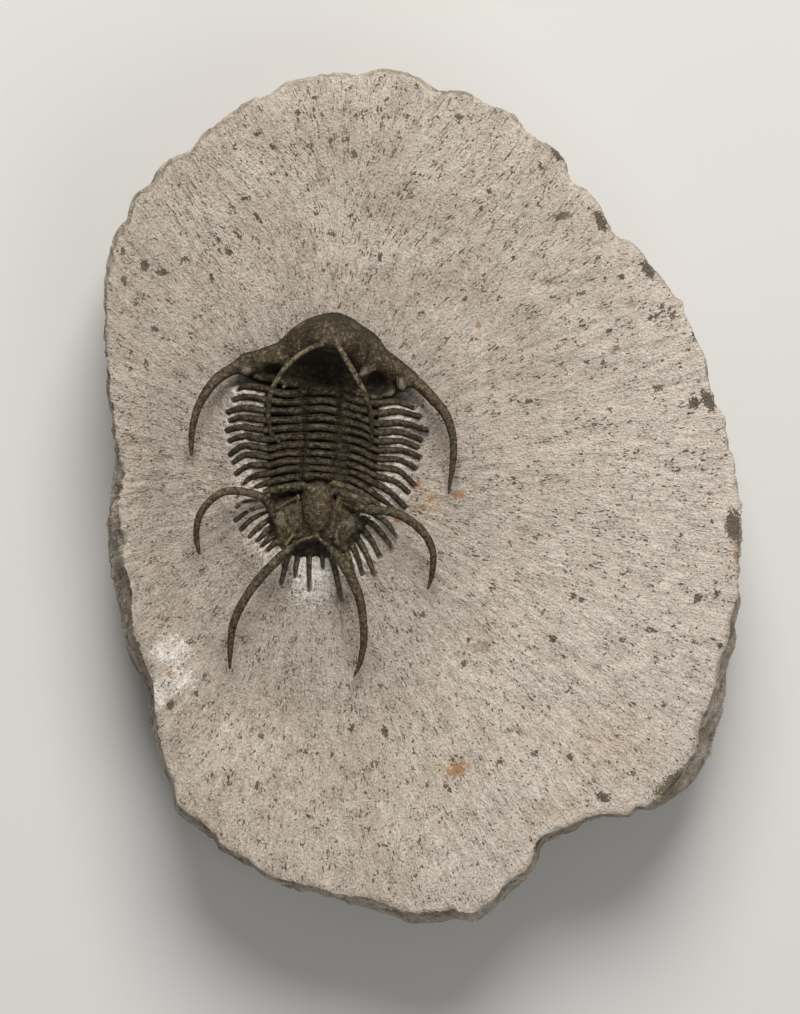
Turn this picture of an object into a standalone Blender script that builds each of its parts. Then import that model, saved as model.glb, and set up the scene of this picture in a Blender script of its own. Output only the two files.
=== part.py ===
"""Ceratarges trilobite fossil on its slab of limestone, laid down with the fossil on top.

The frame is in metres. +X is the animal's right, +Y points to its head and +Z is up.
The origin is at the middle of the flat base.
"""

import math

import bmesh
import bpy
from mathutils import Vector, noise

MM = 0.001

# Driving sizes of the slab, in millimetres
SLAB_WIDTH = 92.7
SLAB_LENGTH = 123.8
RIM_HEIGHT = 24.0
BED_HEIGHT = 21.5
GIRTH_HEIGHT = 13.0
BASE_INSET = 4.5
SLAB_SIDES = 72
FLANK_ROUGHNESS = 0.7

# The dished bed that the fossil lies in: middle and half sizes
BED_CENTRE = (-14.6, 0.5)
BED_HALF_SIZE = (23.0, 31.0)

# The space between touching pieces
GAP = 0.3
FOSSIL_BASE = BED_HEIGHT + GAP

# The widest outline of the slab, clockwise from the top
SLAB_OUTLINE = [
    (-13.6, 61.3), (-7.0, 61.7), (-2.5, 61.4), (0.8, 59.8), (4.3, 58.8), (9.1, 57.2),
    (12.8, 55.6), (14.3, 53.7), (18.2, 50.8), (20.7, 48.5), (21.4, 46.2), (25.4, 42.3),
    (28.2, 37.8), (31.4, 35.9), (34.9, 31.0), (37.6, 28.2), (39.8, 22.5), (41.4, 17.5),
    (44.3, 9.5), (46.3, -1.5), (46.3, -6.3), (46.0, -15.0), (45.5, -21.1), (43.9, -28.9),
    (41.8, -36.8), (37.6, -42.8), (33.0, -45.7), (26.2, -47.6), (19.8, -49.7), (17.0, -51.4),
    (15.6, -55.2), (12.3, -58.2), (7.9, -61.7), (-0.2, -62.1), (-6.6, -60.2), (-15.0, -57.9),
    (-23.0, -55.6), (-30.2, -50.2), (-35.6, -45.9), (-38.8, -36.5), (-40.1, -28.8),
    (-43.4, -21.2), (-45.5, -11.1), (-46.3, -1.1), (-45.0, 6.6), (-45.9, 16.0), (-46.3, 25.4),
    (-45.5, 35.2), (-43.0, 40.5), (-39.8, 45.2), (-33.9, 50.5), (-28.2, 55.3), (-21.7, 58.9),
]

# How far the worked face's rim stands in from the widest outline, by compass direction
RIM_INSET = [
    (0, 0.9), (40, 1.2), (60, 1.3), (90, 1.3), (115, 1.8), (135, 2.0), (160, 1.4), (180, 1.2),
    (215, 4.2), (235, 2.6), (265, 2.6), (300, 3.6), (322, 5.0), (340, 1.6),
]

# The body's plan, from the head to the tail: where each ring crosses the axis, where its ribs
# pass the middle of each side and bend at the knee, and the bow and the tip of its spines
RING_X_FRONT = -14.3
RING_X_REAR = -15.3
AXIS_HALF_WIDTH = 2.9
RING_Y = [14.9, 13.7, 12.5, 11.2, 9.9, 8.6, 7.4, 6.3, 5.2, 4.1, 3.0]
LEFT_RIB_X = -20.1
LEFT_RIB_Y = [14.7, 13.6, 12.4, 11.1, 9.8, 8.6, 7.3, 6.2, 5.0, 3.8, 2.6]
LEFT_KNEE_X = -22.5
LEFT_KNEE_Y = [15.4, 13.9, 12.4, 10.9, 9.5, 8.1, 6.8, 5.6, 4.4, 3.2, 2.0]
LEFT_BOWS = [
    (-25.6, 15.9), (-26.0, 14.3), (-26.2, 12.7), (-26.2, 11.3), (-26.2, 9.9), (-26.0, 8.6),
    (-26.0, 7.2), (-25.7, 5.9), (-25.2, 4.3), (-24.9, 2.6), (-23.9, 1.3),
]
LEFT_TIPS = [
    (-26.9, 15.3), (-27.6, 13.8), (-28.5, 12.0), (-28.1, 10.8), (-28.6, 9.4), (-28.1, 7.9),
    (-28.1, 5.9), (-27.6, 4.7), (-27.2, 3.1), (-26.2, 1.5), (-24.9, 0.6),
]
RIGHT_RIB_X = -9.9
RIGHT_RIB_Y = [13.8, 12.7, 11.5, 10.3, 9.1, 7.8, 6.6, 5.4, 4.2, 3.0, 1.8]
RIGHT_KNEE_X = -6.7
RIGHT_KNEE_Y = [13.1, 11.7, 10.3, 9.0, 7.7, 6.5, 5.3, 4.1, 2.8, 1.5, 0.3]
RIGHT_BOWS = [
    (-4.3, 13.6), (-3.7, 12.1), (-3.1, 10.5), (-3.3, 9.2), (-3.4, 7.9), (-3.1, 6.5),
    (-3.6, 5.2), (-3.7, 3.7), (-4.3, 2.1), (-4.9, 0.4), (-6.0, -0.6),
]
RIGHT_TIPS = [
    (-1.4, 12.7), (-0.4, 11.3), (0.8, 9.4), (-0.2, 8.0), (-0.8, 7.0), (-0.4, 5.5),
    (-1.1, 3.9), (-1.4, 1.6), (-2.2, 0.4), (-2.7, -1.7), (-4.8, -1.6),
]

# Heights of the body above the fossil's underside
RING_TOP = 6.2
FURROW_TOP = 4.4
RIB_TOP = 4.9
KNEE_TOP = 3.9
BOW_TOP = 2.7
TIP_TOP = 1.0
RING_THICKNESS = 0.75
RIB_THICKNESS = 0.75
TIP_THICKNESS = 0.5

# The middle head plate: its outline in plan, clockwise, and its height
CRANIDIUM_OUTLINE = [
    (-23.6, 21.2), (-21.2, 22.1), (-19.6, 23.5), (-18.0, 24.9), (-15.2, 26.1), (-12.8, 26.4),
    (-10.5, 25.6), (-7.6, 23.4), (-6.0, 21.0), (-3.8, 19.5), (-3.8, 15.6), (-5.6, 16.2),
    (-8.0, 16.6), (-10.2, 16.0), (-14.2, 16.3), (-18.4, 16.9), (-20.5, 18.3), (-23.6, 18.0),
]
CHEEK_HEIGHT = 3.4

# The swollen lobes on the middle head plate: centre, half sizes
GLABELLA = ((-13.1, 21.6, 0.0), (5.4, 4.6, 10.2))
LEFT_SIDE_LOBE = ((-18.0, 20.9, 0.0), (2.6, 2.4, 6.2))
RIGHT_SIDE_LOBE = ((-8.3, 19.9, 0.0), (2.6, 2.6, 6.2))
OCCIPITAL_LOBE = ((-14.0, 17.9, 0.0), (4.0, 1.6, 5.4))

# The free cheeks: outlines in plan, and the eyes' centres and half sizes
LEFT_CHEEK_OUTLINE = [
    (-23.9, 21.1), (-26.5, 20.2), (-28.1, 19.1), (-27.9, 17.5), (-25.9, 17.2), (-23.9, 18.0),
]
RIGHT_CHEEK_OUTLINE = [
    (-3.5, 19.2), (-2.0, 17.8), (-0.4, 16.5), (-0.9, 15.1), (-2.8, 14.5), (-3.5, 15.1),
]
EYE_HALF_SIZE = (1.1, 0.9, 1.6)
LEFT_EYE = (-25.3, 18.2, 3.3)
RIGHT_EYE = (-2.7, 15.9, 3.3)

# Long spines: points on the centre line, with heights above the fossil's underside
LEFT_HORN = [
    (-13.9, 21.8, 8.9), (-16.1, 21.1, 10.8), (-17.9, 20.1, 12.0), (-20.4, 17.6, 13.0),
    (-22.2, 14.6, 12.9), (-22.5, 11.4, 11.8), (-22.0, 8.9, 10.4), (-20.9, 6.3, 8.6),
]
RIGHT_HORN = [
    (-12.6, 22.0, 8.9), (-11.8, 20.8, 10.6), (-10.7, 18.8, 12.0), (-9.4, 16.2, 13.0),
    (-8.3, 13.9, 13.2), (-7.4, 11.6, 12.6), (-7.1, 9.2, 11.3), (-7.5, 7.0, 9.9),
]
LEFT_CHEEK_SPINE = [
    (-26.3, 19.0, 2.3), (-27.9, 18.5, 2.6), (-30.1, 16.7, 3.2), (-31.7, 14.7, 3.4),
    (-33.0, 12.1, 3.2), (-33.6, 9.6, 2.4), (-33.6, 6.2, 1.0),
]
RIGHT_CHEEK_SPINE = [
    (-2.2, 17.2, 2.3), (-0.7, 16.4, 2.6), (1.5, 14.4, 3.2), (3.1, 12.1, 3.5),
    (4.1, 9.2, 3.3), (4.6, 6.7, 2.8), (4.4, 3.8, 1.9), (3.8, 0.5, 0.8),
]
LEFT_FRONT_TAIL_SPINE = [
    (-21.8, -2.0, 2.8), (-22.7, -1.0, 3.6), (-24.1, 0.2, 4.6), (-26.3, 0.9, 5.2),
    (-28.8, 0.9, 5.3), (-30.8, 0.1, 4.9), (-32.1, -1.4, 4.2), (-33.0, -5.1, 2.4),
    (-32.4, -8.5, 0.8),
]
RIGHT_FRONT_TAIL_SPINE = [
    (-10.6, -1.2, 3.1), (-9.4, -1.5, 3.8), (-6.2, -2.0, 4.9), (-3.6, -2.3, 5.3),
    (-1.4, -3.4, 5.3), (0.1, -5.0, 5.0), (1.1, -7.0, 4.2), (1.5, -9.2, 3.1), (0.8, -13.4, 0.9),
]
LEFT_REAR_TAIL_SPINE = [
    (-18.8, -6.0, 3.0), (-19.8, -7.3, 3.8), (-21.7, -9.2, 4.6), (-24.1, -11.7, 5.2),
    (-25.9, -14.6, 5.2), (-27.2, -17.5, 4.5), (-28.1, -20.7, 2.9), (-28.1, -25.0, 0.8),
]
RIGHT_REAR_TAIL_SPINE = [
    (-14.2, -5.8, 3.0), (-13.4, -7.0, 3.8), (-11.8, -9.2, 4.7), (-10.4, -11.7, 5.2),
    (-9.4, -14.9, 5.2), (-8.8, -17.8, 4.5), (-8.9, -20.7, 3.2), (-10.1, -26.3, 0.8),
]

# Radii at the root and the tip of each kind of spine
HORN_RADII = (0.5, 0.2)
CHEEK_SPINE_RADII = (0.78, 0.26)
TAIL_SPINE_RADII = (0.66, 0.24)
SHORT_SPINE_RADII = (0.5, 0.22)

# The tail plate: its outline in plan, its height and the swollen end of the axis
TAIL_OUTLINE = [
    (-22.4, 0.7), (-19.0, 1.3), (-15.4, 1.9), (-12.0, 1.0), (-8.6, -0.8), (-8.9, -2.4),
    (-10.6, -4.4), (-12.4, -7.4), (-14.0, -6.8), (-16.0, -5.9), (-18.0, -6.9), (-19.8, -8.3),
    (-21.2, -6.2), (-22.1, -3.6), (-23.2, -1.2),
]
TAIL_HEIGHT = 3.3
PLATE_ROUNDING = 0.9
TAIL_AXIS_LOBE = ((-15.5, -1.6, 0.0), (2.7, 3.9, 5.3))

# Short spines on the tail's edge: root and tip in plan
LEFT_SHORT_SPINES = [
    ((-22.9, -1.6), (-27.2, -3.9)), ((-22.5, -2.7), (-26.5, -5.0)),
    ((-22.0, -3.9), (-25.4, -6.1)), ((-21.5, -5.1), (-24.5, -7.0)), ((-20.9, -6.2), (-23.2, -8.2)),
]
RIGHT_SHORT_SPINES = [
    ((-9.4, -1.8), (-4.3, -5.3)), ((-10.1, -2.8), (-4.7, -7.2)), ((-10.8, -3.9), (-6.6, -8.7)),
    ((-11.5, -5.0), (-7.2, -11.5)), ((-12.0, -6.0), (-9.6, -9.4)),
]
MIDDLE_SHORT_SPINES = [
    ((-19.0, -7.4), (-21.0, -12.4)), ((-17.8, -6.8), (-18.9, -11.7)),
    ((-16.3, -6.2), (-16.7, -13.3)), ((-14.8, -6.6), (-14.7, -10.8)),
    ((-13.6, -7.0), (-12.6, -12.8)),
]
SHORT_SPINE_ROOT_HEIGHT = 2.2
SHORT_SPINE_TIP_HEIGHT = 0.6

ROCK_COLOUR = (0.42, 0.36, 0.30, 1.0)
FOSSIL_COLOUR = (0.060, 0.048, 0.036, 1.0)


# Scene and materials

def clear_scene():
    for item in list(bpy.data.objects):
        bpy.data.objects.remove(item, do_unlink=True)


def new_collection(name):
    collection = bpy.data.collections.new(name)
    bpy.context.scene.collection.children.link(collection)
    return collection


def new_material(name, colour, roughness):
    material = bpy.data.materials.new(name)
    material.use_nodes = True
    shader = material.node_tree.nodes["Principled BSDF"]
    shader.inputs["Base Color"].default_value = colour
    shader.inputs["Roughness"].default_value = roughness
    shader.inputs["Metallic"].default_value = 0.0
    return material


def add_object(name, mesh, collection):
    item = bpy.data.objects.new(name, mesh)
    collection.objects.link(item)
    return item


def mesh_from(bm, name):
    bmesh.ops.recalc_face_normals(bm, faces=bm.faces)
    mesh = bpy.data.meshes.new(name)
    bm.to_mesh(mesh)
    bm.free()
    return mesh


# Smooth lines through chosen points

def through(points, steps, closed=False):
    """A Catmull-Rom line through the points, with the given number of steps for each span."""
    knots = [Vector(point) for point in points]
    count = len(knots)
    spans = count if closed else count - 1
    line = []
    for index in range(spans):
        if closed:
            before, start, end, after = (knots[(index + shift) % count] for shift in (-1, 0, 1, 2))
        else:
            before = knots[max(index - 1, 0)]
            start = knots[index]
            end = knots[index + 1]
            after = knots[min(index + 2, count - 1)]
        for step in range(steps):
            t = step / steps
            line.append(0.5 * (2 * start + (end - before) * t
                               + (2 * before - 5 * start + 4 * end - after) * t ** 2
                               + (3 * start - before - 3 * end + after) * t ** 3))
    if not closed:
        line.append(knots[-1])
    return line


def evenly(line, count):
    """The given number of points, equally spaced along a closed line."""
    lengths = [0.0]
    for start, end in zip(line, line[1:] + line[:1]):
        lengths.append(lengths[-1] + (end - start).length)
    result = []
    index = 0
    for number in range(count):
        target = lengths[-1] * number / count
        while lengths[index + 1] < target:
            index += 1
        share = (target - lengths[index]) / (lengths[index + 1] - lengths[index])
        result.append(line[index].lerp(line[(index + 1) % len(line)], share))
    return result


def mix(start, end, share):
    return start + (end - start) * share


def smooth_step(share):
    share = min(max(share, 0.0), 1.0)
    return share * share * (3.0 - 2.0 * share)


# The slab

def rim_inset(compass):
    """The rim's distance from the widest outline, looking along a compass direction."""
    table = RIM_INSET + [(RIM_INSET[0][0] + 360, RIM_INSET[0][1])]
    for (start, low), (end, high) in zip(table, table[1:]):
        if start <= compass <= end:
            return mix(low, high, smooth_step((compass - start) / (end - start)))
    return RIM_INSET[0][1]


def slab_girth():
    """The widest outline, set to the slab's width and length about the origin."""
    line = evenly(through(SLAB_OUTLINE, 6, closed=True), SLAB_SIDES)
    low = Vector((min(p.x for p in line), min(p.y for p in line)))
    high = Vector((max(p.x for p in line), max(p.y for p in line)))
    middle = (low + high) / 2
    scale_x = SLAB_WIDTH / (high.x - low.x)
    scale_y = SLAB_LENGTH / (high.y - low.y)
    return [Vector(((p.x - middle.x) * scale_x, (p.y - middle.y) * scale_y)) for p in line]


def slab_rings():
    """Rings of the slab from the base up the broken flank and over the rim to the bed."""
    girth = slab_girth()
    rings = []
    flank = [(0.0, BASE_INSET, 0.0), (4.0, 2.2, 1.0), (8.5, 0.9, 1.0), (GIRTH_HEIGHT, 0.0, 0.0),
             (18.5, None, 1.0), (RIM_HEIGHT - 0.8, None, 0.6)]
    for height, inset, roughness in flank:
        ring = []
        for index, point in enumerate(girth):
            ahead = girth[(index + 1) % SLAB_SIDES] - girth[index - 1]
            outward = Vector((-ahead.y, ahead.x)).normalized()
            if outward.dot(point) < 0:
                outward = -outward
            compass = math.degrees(math.atan2(point.x, point.y)) % 360
            rim = rim_inset(compass)
            if inset is None:
                distance = rim * (0.35 if height < RIM_HEIGHT - 1 else 0.8)
            else:
                distance = inset
            bumps = noise.noise(Vector((point.x, point.y, height)) * 0.16)
            distance += roughness * FLANK_ROUGHNESS * (0.5 + 0.5 * bumps)
            place = point - outward * distance
            ring.append(Vector((place.x, place.y, height)))
        rings.append(ring)
    bed = []
    rim_ring = []
    for index, point in enumerate(girth):
        compass = math.degrees(math.atan2(point.x, point.y)) % 360
        inward = -point.normalized() * (rim_inset(compass) + FLANK_ROUGHNESS)
        unevenness = 0.5 * noise.noise(Vector((point.x, point.y, 0.0)) * 0.05)
        rim_ring.append(Vector((point.x + inward.x, point.y + inward.y, RIM_HEIGHT + unevenness)))
        ray = Vector((rim_ring[-1].x - BED_CENTRE[0], rim_ring[-1].y - BED_CENTRE[1]))
        reach = math.hypot(ray.x / BED_HALF_SIZE[0], ray.y / BED_HALF_SIZE[1])
        bed.append(Vector((BED_CENTRE[0] + ray.x / reach, BED_CENTRE[1] + ray.y / reach, BED_HEIGHT)))
    rings.append(rim_ring)
    for share in (0.3, 0.65):
        rings.append([
            Vector((mix(high.x, low.x, share), mix(high.y, low.y, share),
                    mix(high.z, low.z, smooth_step(share))))
            for high, low in zip(rim_ring, bed)])
    rings.append(bed)
    return rings


def loft(rings):
    """A closed solid through rings that have the same number of points."""
    bm = bmesh.new()
    verts = [[bm.verts.new(point * MM) for point in ring] for ring in rings]
    count = len(verts[0])
    for lower, upper in zip(verts, verts[1:]):
        for index in range(count):
            after = (index + 1) % count
            bm.faces.new((lower[index], lower[after], upper[after], upper[index]))
    bm.faces.new(verts[0])
    bm.faces.new(verts[-1])
    return bm


def make_slab(collection, material):
    slab = add_object("matrix_slab", mesh_from(loft(slab_rings()), "matrix_slab"), collection)
    slab.data.materials.append(material)


# The body rings

def segment_line(number):
    """The ridge line of one body segment, from its left tip to its right tip."""
    share = number / (len(RING_Y) - 1)
    ring = Vector((mix(RING_X_FRONT, RING_X_REAR, share), RING_Y[number]))
    stations = [(ring, RING_TOP, RING_THICKNESS)]
    sides = [
        (Vector((LEFT_RIB_X, LEFT_RIB_Y[number])), Vector((LEFT_KNEE_X, LEFT_KNEE_Y[number])),
         Vector(LEFT_BOWS[number]), Vector(LEFT_TIPS[number])),
        (Vector((RIGHT_RIB_X, RIGHT_RIB_Y[number])), Vector((RIGHT_KNEE_X, RIGHT_KNEE_Y[number])),
         Vector(RIGHT_BOWS[number]), Vector(RIGHT_TIPS[number])),
    ]
    for rib, knee, bow, tip in sides:
        furrow = ring.lerp(rib, AXIS_HALF_WIDTH / (rib - ring).length)
        stations += [
            (ring.lerp(furrow, 0.6), mix(FURROW_TOP, RING_TOP, 0.75), RING_THICKNESS),
            (furrow, FURROW_TOP, RING_THICKNESS),
            (rib, RIB_TOP, RIB_THICKNESS),
            (knee, KNEE_TOP, RIB_THICKNESS),
            (bow, BOW_TOP, RIB_THICKNESS),
            (tip, TIP_TOP, TIP_THICKNESS),
        ]
        stations.reverse()
    stations.reverse()
    return through([(place.x, place.y, top, thick) for place, top, thick in stations], 2)


def segment_rings(number):
    """Sections of one segment: a flat foot, upright sides and a rounded ridge."""
    line = segment_line(number)
    rings = []
    for index, station in enumerate(line):
        before = line[max(index - 1, 0)]
        after = line[min(index + 1, len(line) - 1)]
        across = Vector((-(after.y - before.y), after.x - before.x)).normalized()
        half = station[3] / 2
        top = FOSSIL_BASE + station[2]
        shoulder = top - min(half, station[2] / 2)
        section = [(-half, FOSSIL_BASE), (-half, shoulder), (-half * 0.5, top), (half * 0.5, top),
                   (half, shoulder), (half, FOSSIL_BASE)]
        rings.append([Vector((station[0] + across.x * side, station[1] + across.y * side, height))
                      for side, height in section])
    return rings


def make_segments(collection, material):
    for number in range(len(RING_Y)):
        name = f"thoracic_segment_{number + 1:02d}"
        segment = add_object(name, mesh_from(loft(segment_rings(number)), name), collection)
        segment.data.materials.append(material)


# Parts of the head and the tail

def lobe(name, shape, collection, columns=20, rows=10):
    """An ellipsoid whose lower half is later cut off at the fossil's underside."""
    centre, half_sizes = shape
    bm = bmesh.new()
    bmesh.ops.create_uvsphere(bm, u_segments=columns, v_segments=rows, radius=1.0)
    bmesh.ops.scale(bm, vec=Vector(half_sizes) * MM, verts=bm.verts)
    place = Vector(centre) + Vector((0.0, 0.0, FOSSIL_BASE))
    bmesh.ops.translate(bm, vec=place * MM, verts=bm.verts)
    return add_object(name, mesh_from(bm, name), collection)


def curve_to_mesh(item, collection):
    """A mesh object in place of a curve object, with its caps joined to its sides."""
    graph = bpy.context.evaluated_depsgraph_get()
    mesh = bpy.data.meshes.new_from_object(item.evaluated_get(graph))
    bm = bmesh.new()
    bm.from_mesh(mesh)
    bmesh.ops.remove_doubles(bm, verts=bm.verts, dist=0.000001)
    bmesh.ops.recalc_face_normals(bm, faces=bm.faces)
    bm.to_mesh(mesh)
    bm.free()
    result = add_object(item.name + "_mesh", mesh, collection)
    result.matrix_world = item.matrix_world
    bpy.data.objects.remove(item, do_unlink=True)
    return result


def spine(name, points, radii, collection, steps=2, sides_level=2):
    """A tapering tube through points given above the fossil's underside."""
    line = through(points, steps)
    root, tip = radii
    data = bpy.data.curves.new(name, "CURVE")
    data.dimensions = "3D"
    data.bevel_depth = MM
    data.bevel_resolution = sides_level
    data.use_fill_caps = True
    spline = data.splines.new("POLY")
    spline.points.add(len(line) - 1)
    for index, place in enumerate(line):
        share = index / (len(line) - 1)
        spline.points[index].co = (place.x * MM, place.y * MM, (place.z + FOSSIL_BASE) * MM, 1.0)
        spline.points[index].radius = mix(root, tip, share ** 1.6)
    return curve_to_mesh(add_object(name, data, collection), collection)


def plate(name, outline, height, collection):
    """A plate with rounded edges, which starts below the fossil's underside."""
    data = bpy.data.curves.new(name, "CURVE")
    data.dimensions = "2D"
    data.fill_mode = "BOTH"
    sunk = 2 * PLATE_ROUNDING
    data.extrude = (height + sunk) / 2 * MM
    spline = data.splines.new("POLY")
    spline.use_cyclic_u = True
    spline.points.add(len(outline) - 1)
    for index, (x, y) in enumerate(outline):
        spline.points[index].co = (x * MM, y * MM, 0.0, 1.0)
    item = add_object(name, data, collection)
    item.location.z = (FOSSIL_BASE + (height - sunk) / 2) * MM
    bpy.context.view_layer.update()
    result = curve_to_mesh(item, collection)
    rounding = result.modifiers.new("rounded_edges", "BEVEL")
    rounding.width = PLATE_ROUNDING * MM
    rounding.segments = 2
    rounding.limit_method = "ANGLE"
    rounding.angle_limit = math.radians(60)
    return result


def bed_cutter(collection):
    """A block whose top is the plane of the fossil's underside."""
    bm = bmesh.new()
    bmesh.ops.create_cube(bm, size=1.0)
    bmesh.ops.scale(bm, vec=Vector((90.0, 90.0, 20.0)) * MM, verts=bm.verts)
    place = Vector((BED_CENTRE[0], BED_CENTRE[1], FOSSIL_BASE - 10.0))
    bmesh.ops.translate(bm, vec=place * MM, verts=bm.verts)
    return add_object("bed_cutter", mesh_from(bm, "bed_cutter"), collection)


def grow_together(name, body, others, cutter, tools, collection, material):
    """One plate: the body joined with its lobes and spines, and cut flat underneath."""
    tools.objects.unlink(body)
    collection.objects.link(body)
    body.name = name
    body.data.materials.clear()
    body.data.materials.append(material)
    for number, other in enumerate(others):
        union = body.modifiers.new(f"join_{number:02d}", "BOOLEAN")
        union.operation = "UNION"
        union.object = other
        union.solver = "EXACT"
    cut = body.modifiers.new("cut_underside", "BOOLEAN")
    cut.operation = "DIFFERENCE"
    cut.object = cutter
    cut.solver = "EXACT"


def make_cranidium(collection, tools, cutter, material):
    body = plate("cranidium_plate", CRANIDIUM_OUTLINE, CHEEK_HEIGHT, tools)
    others = [
        lobe("glabella", GLABELLA, tools, 28, 16),
        lobe("left_side_lobe", LEFT_SIDE_LOBE, tools, 16, 10),
        lobe("right_side_lobe", RIGHT_SIDE_LOBE, tools, 16, 10),
        lobe("occipital_lobe", OCCIPITAL_LOBE, tools, 16, 10),
        spine("left_horn", LEFT_HORN, HORN_RADII, tools, steps=3),
        spine("right_horn", RIGHT_HORN, HORN_RADII, tools, steps=3),
    ]
    grow_together("cranidium", body, others, cutter, tools, collection, material)


def make_free_cheek(side, outline, eye, points, collection, tools, cutter, material):
    body = plate(f"{side}_cheek_plate", outline, CHEEK_HEIGHT, tools)
    others = [
        lobe(f"{side}_eye", (eye, EYE_HALF_SIZE), tools, 12, 8),
        spine(f"{side}_cheek_spine", points, CHEEK_SPINE_RADII, tools),
    ]
    grow_together(f"free_cheek_{side}", body, others, cutter, tools, collection, material)


def make_pygidium(collection, tools, cutter, material):
    body = plate("tail_plate", TAIL_OUTLINE, TAIL_HEIGHT, tools)
    others = [lobe("tail_axis_lobe", TAIL_AXIS_LOBE, tools)]
    long_spines = [LEFT_FRONT_TAIL_SPINE, RIGHT_FRONT_TAIL_SPINE,
                   LEFT_REAR_TAIL_SPINE, RIGHT_REAR_TAIL_SPINE]
    for number, points in enumerate(long_spines):
        others.append(spine(f"tail_spine_{number + 1}", points, TAIL_SPINE_RADII, tools))
    short_spines = LEFT_SHORT_SPINES + RIGHT_SHORT_SPINES + MIDDLE_SHORT_SPINES
    for number, (root, tip) in enumerate(short_spines):
        points = [(*root, SHORT_SPINE_ROOT_HEIGHT), (*tip, SHORT_SPINE_TIP_HEIGHT)]
        others.append(spine(f"short_spine_{number + 1:02d}", points, SHORT_SPINE_RADII, tools,
                            sides_level=1))
    grow_together("pygidium", body, others, cutter, tools, collection, material)


def hide_tools(tools):
    for item in tools.objects:
        item.hide_render = True
        item.display_type = "WIRE"


def build():
    clear_scene()
    fossil = new_collection("ceratarges_trilobite_fossil")
    tools = new_collection("cutters")
    rock = new_material("limestone", ROCK_COLOUR, 0.95)
    calcite = new_material("fossil_calcite", FOSSIL_COLOUR, 0.5)
    make_slab(fossil, rock)
    make_segments(fossil, calcite)
    cutter = bed_cutter(tools)
    make_cranidium(fossil, tools, cutter, calcite)
    make_free_cheek("left", LEFT_CHEEK_OUTLINE, LEFT_EYE, LEFT_CHEEK_SPINE,
                    fossil, tools, cutter, calcite)
    make_free_cheek("right", RIGHT_CHEEK_OUTLINE, RIGHT_EYE, RIGHT_CHEEK_SPINE,
                    fossil, tools, cutter, calcite)
    make_pygidium(fossil, tools, cutter, calcite)
    hide_tools(tools)


build()
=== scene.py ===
"""Looks of a spiny trilobite fossil on its worked slab of limestone.

Sizes are in millimetres in the number work and in metres in the meshes. +X is the animal's
right, +Y points to its head and +Z is up. The origin is at the middle of the flat base.
"""

import itertools
import math

import bpy
import numpy as np
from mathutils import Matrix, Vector


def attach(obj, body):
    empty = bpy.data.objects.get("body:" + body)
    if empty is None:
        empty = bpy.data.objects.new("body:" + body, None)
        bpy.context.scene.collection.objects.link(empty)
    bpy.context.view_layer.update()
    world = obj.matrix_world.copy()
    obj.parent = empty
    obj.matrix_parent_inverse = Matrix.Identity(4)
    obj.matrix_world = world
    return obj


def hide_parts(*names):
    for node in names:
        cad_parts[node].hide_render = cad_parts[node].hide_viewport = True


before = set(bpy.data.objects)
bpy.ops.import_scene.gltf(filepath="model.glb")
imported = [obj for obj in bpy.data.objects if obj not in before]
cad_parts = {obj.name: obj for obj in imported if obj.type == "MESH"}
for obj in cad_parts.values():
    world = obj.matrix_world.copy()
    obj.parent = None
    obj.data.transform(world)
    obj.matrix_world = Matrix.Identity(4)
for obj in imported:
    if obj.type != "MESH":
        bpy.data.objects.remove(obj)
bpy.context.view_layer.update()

MM = 0.001

# The photograph's frame: its size, how large a pixel is on the slab, and the pixel over the origin
PHOTO_WIDTH = 800
PHOTO_HEIGHT = 1014
PIXEL = 0.145
ORIGIN_PIXEL = (423.5, 495.5)

# Driving heights, repeated from the solids. Where the flank can't be seen the slab is widest a
# little under its face. The fossil's plates end at their foot, which is inside the stone.
RIM_HEIGHT = 24.0
BED_HEIGHT = 21.5
GIRTH_HEIGHT = 13.0
BASE_INSET = 4.5
HIDDEN_GIRTH_DROP = 2.0
FOSSIL_BASE = 21.8
FOSSIL_FOOT = FOSSIL_BASE - 0.45
BED_CENTRE = (-14.6, 0.5)
BED_HALF_SIZE = (23.0, 31.0)

# The camera hangs straight over the slab
CAMERA_DISTANCE = 900.0
SHARP_HEIGHT = 23.0
SENSOR = 36.0

# The middle of the tool marks, which is also the middle of the slab's rings of points, and the
# point in front of the head to which the marks over it run
FLOW_CENTRE = (-15.3, 3.0)
FRONT_CENTRE = (-10.7, 37.8)

# About how long the slab's outline is
SLAB_GIRTH = 350.0


def plan(pixel_x, pixel_y):
    """The place on the slab, in millimetres, that the photograph shows at a pixel."""
    return (pixel_x - ORIGIN_PIXEL[0]) * PIXEL, (ORIGIN_PIXEL[1] - pixel_y) * PIXEL


PHOTO_MIDDLE = plan(PHOTO_WIDTH / 2, PHOTO_HEIGHT / 2)

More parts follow.
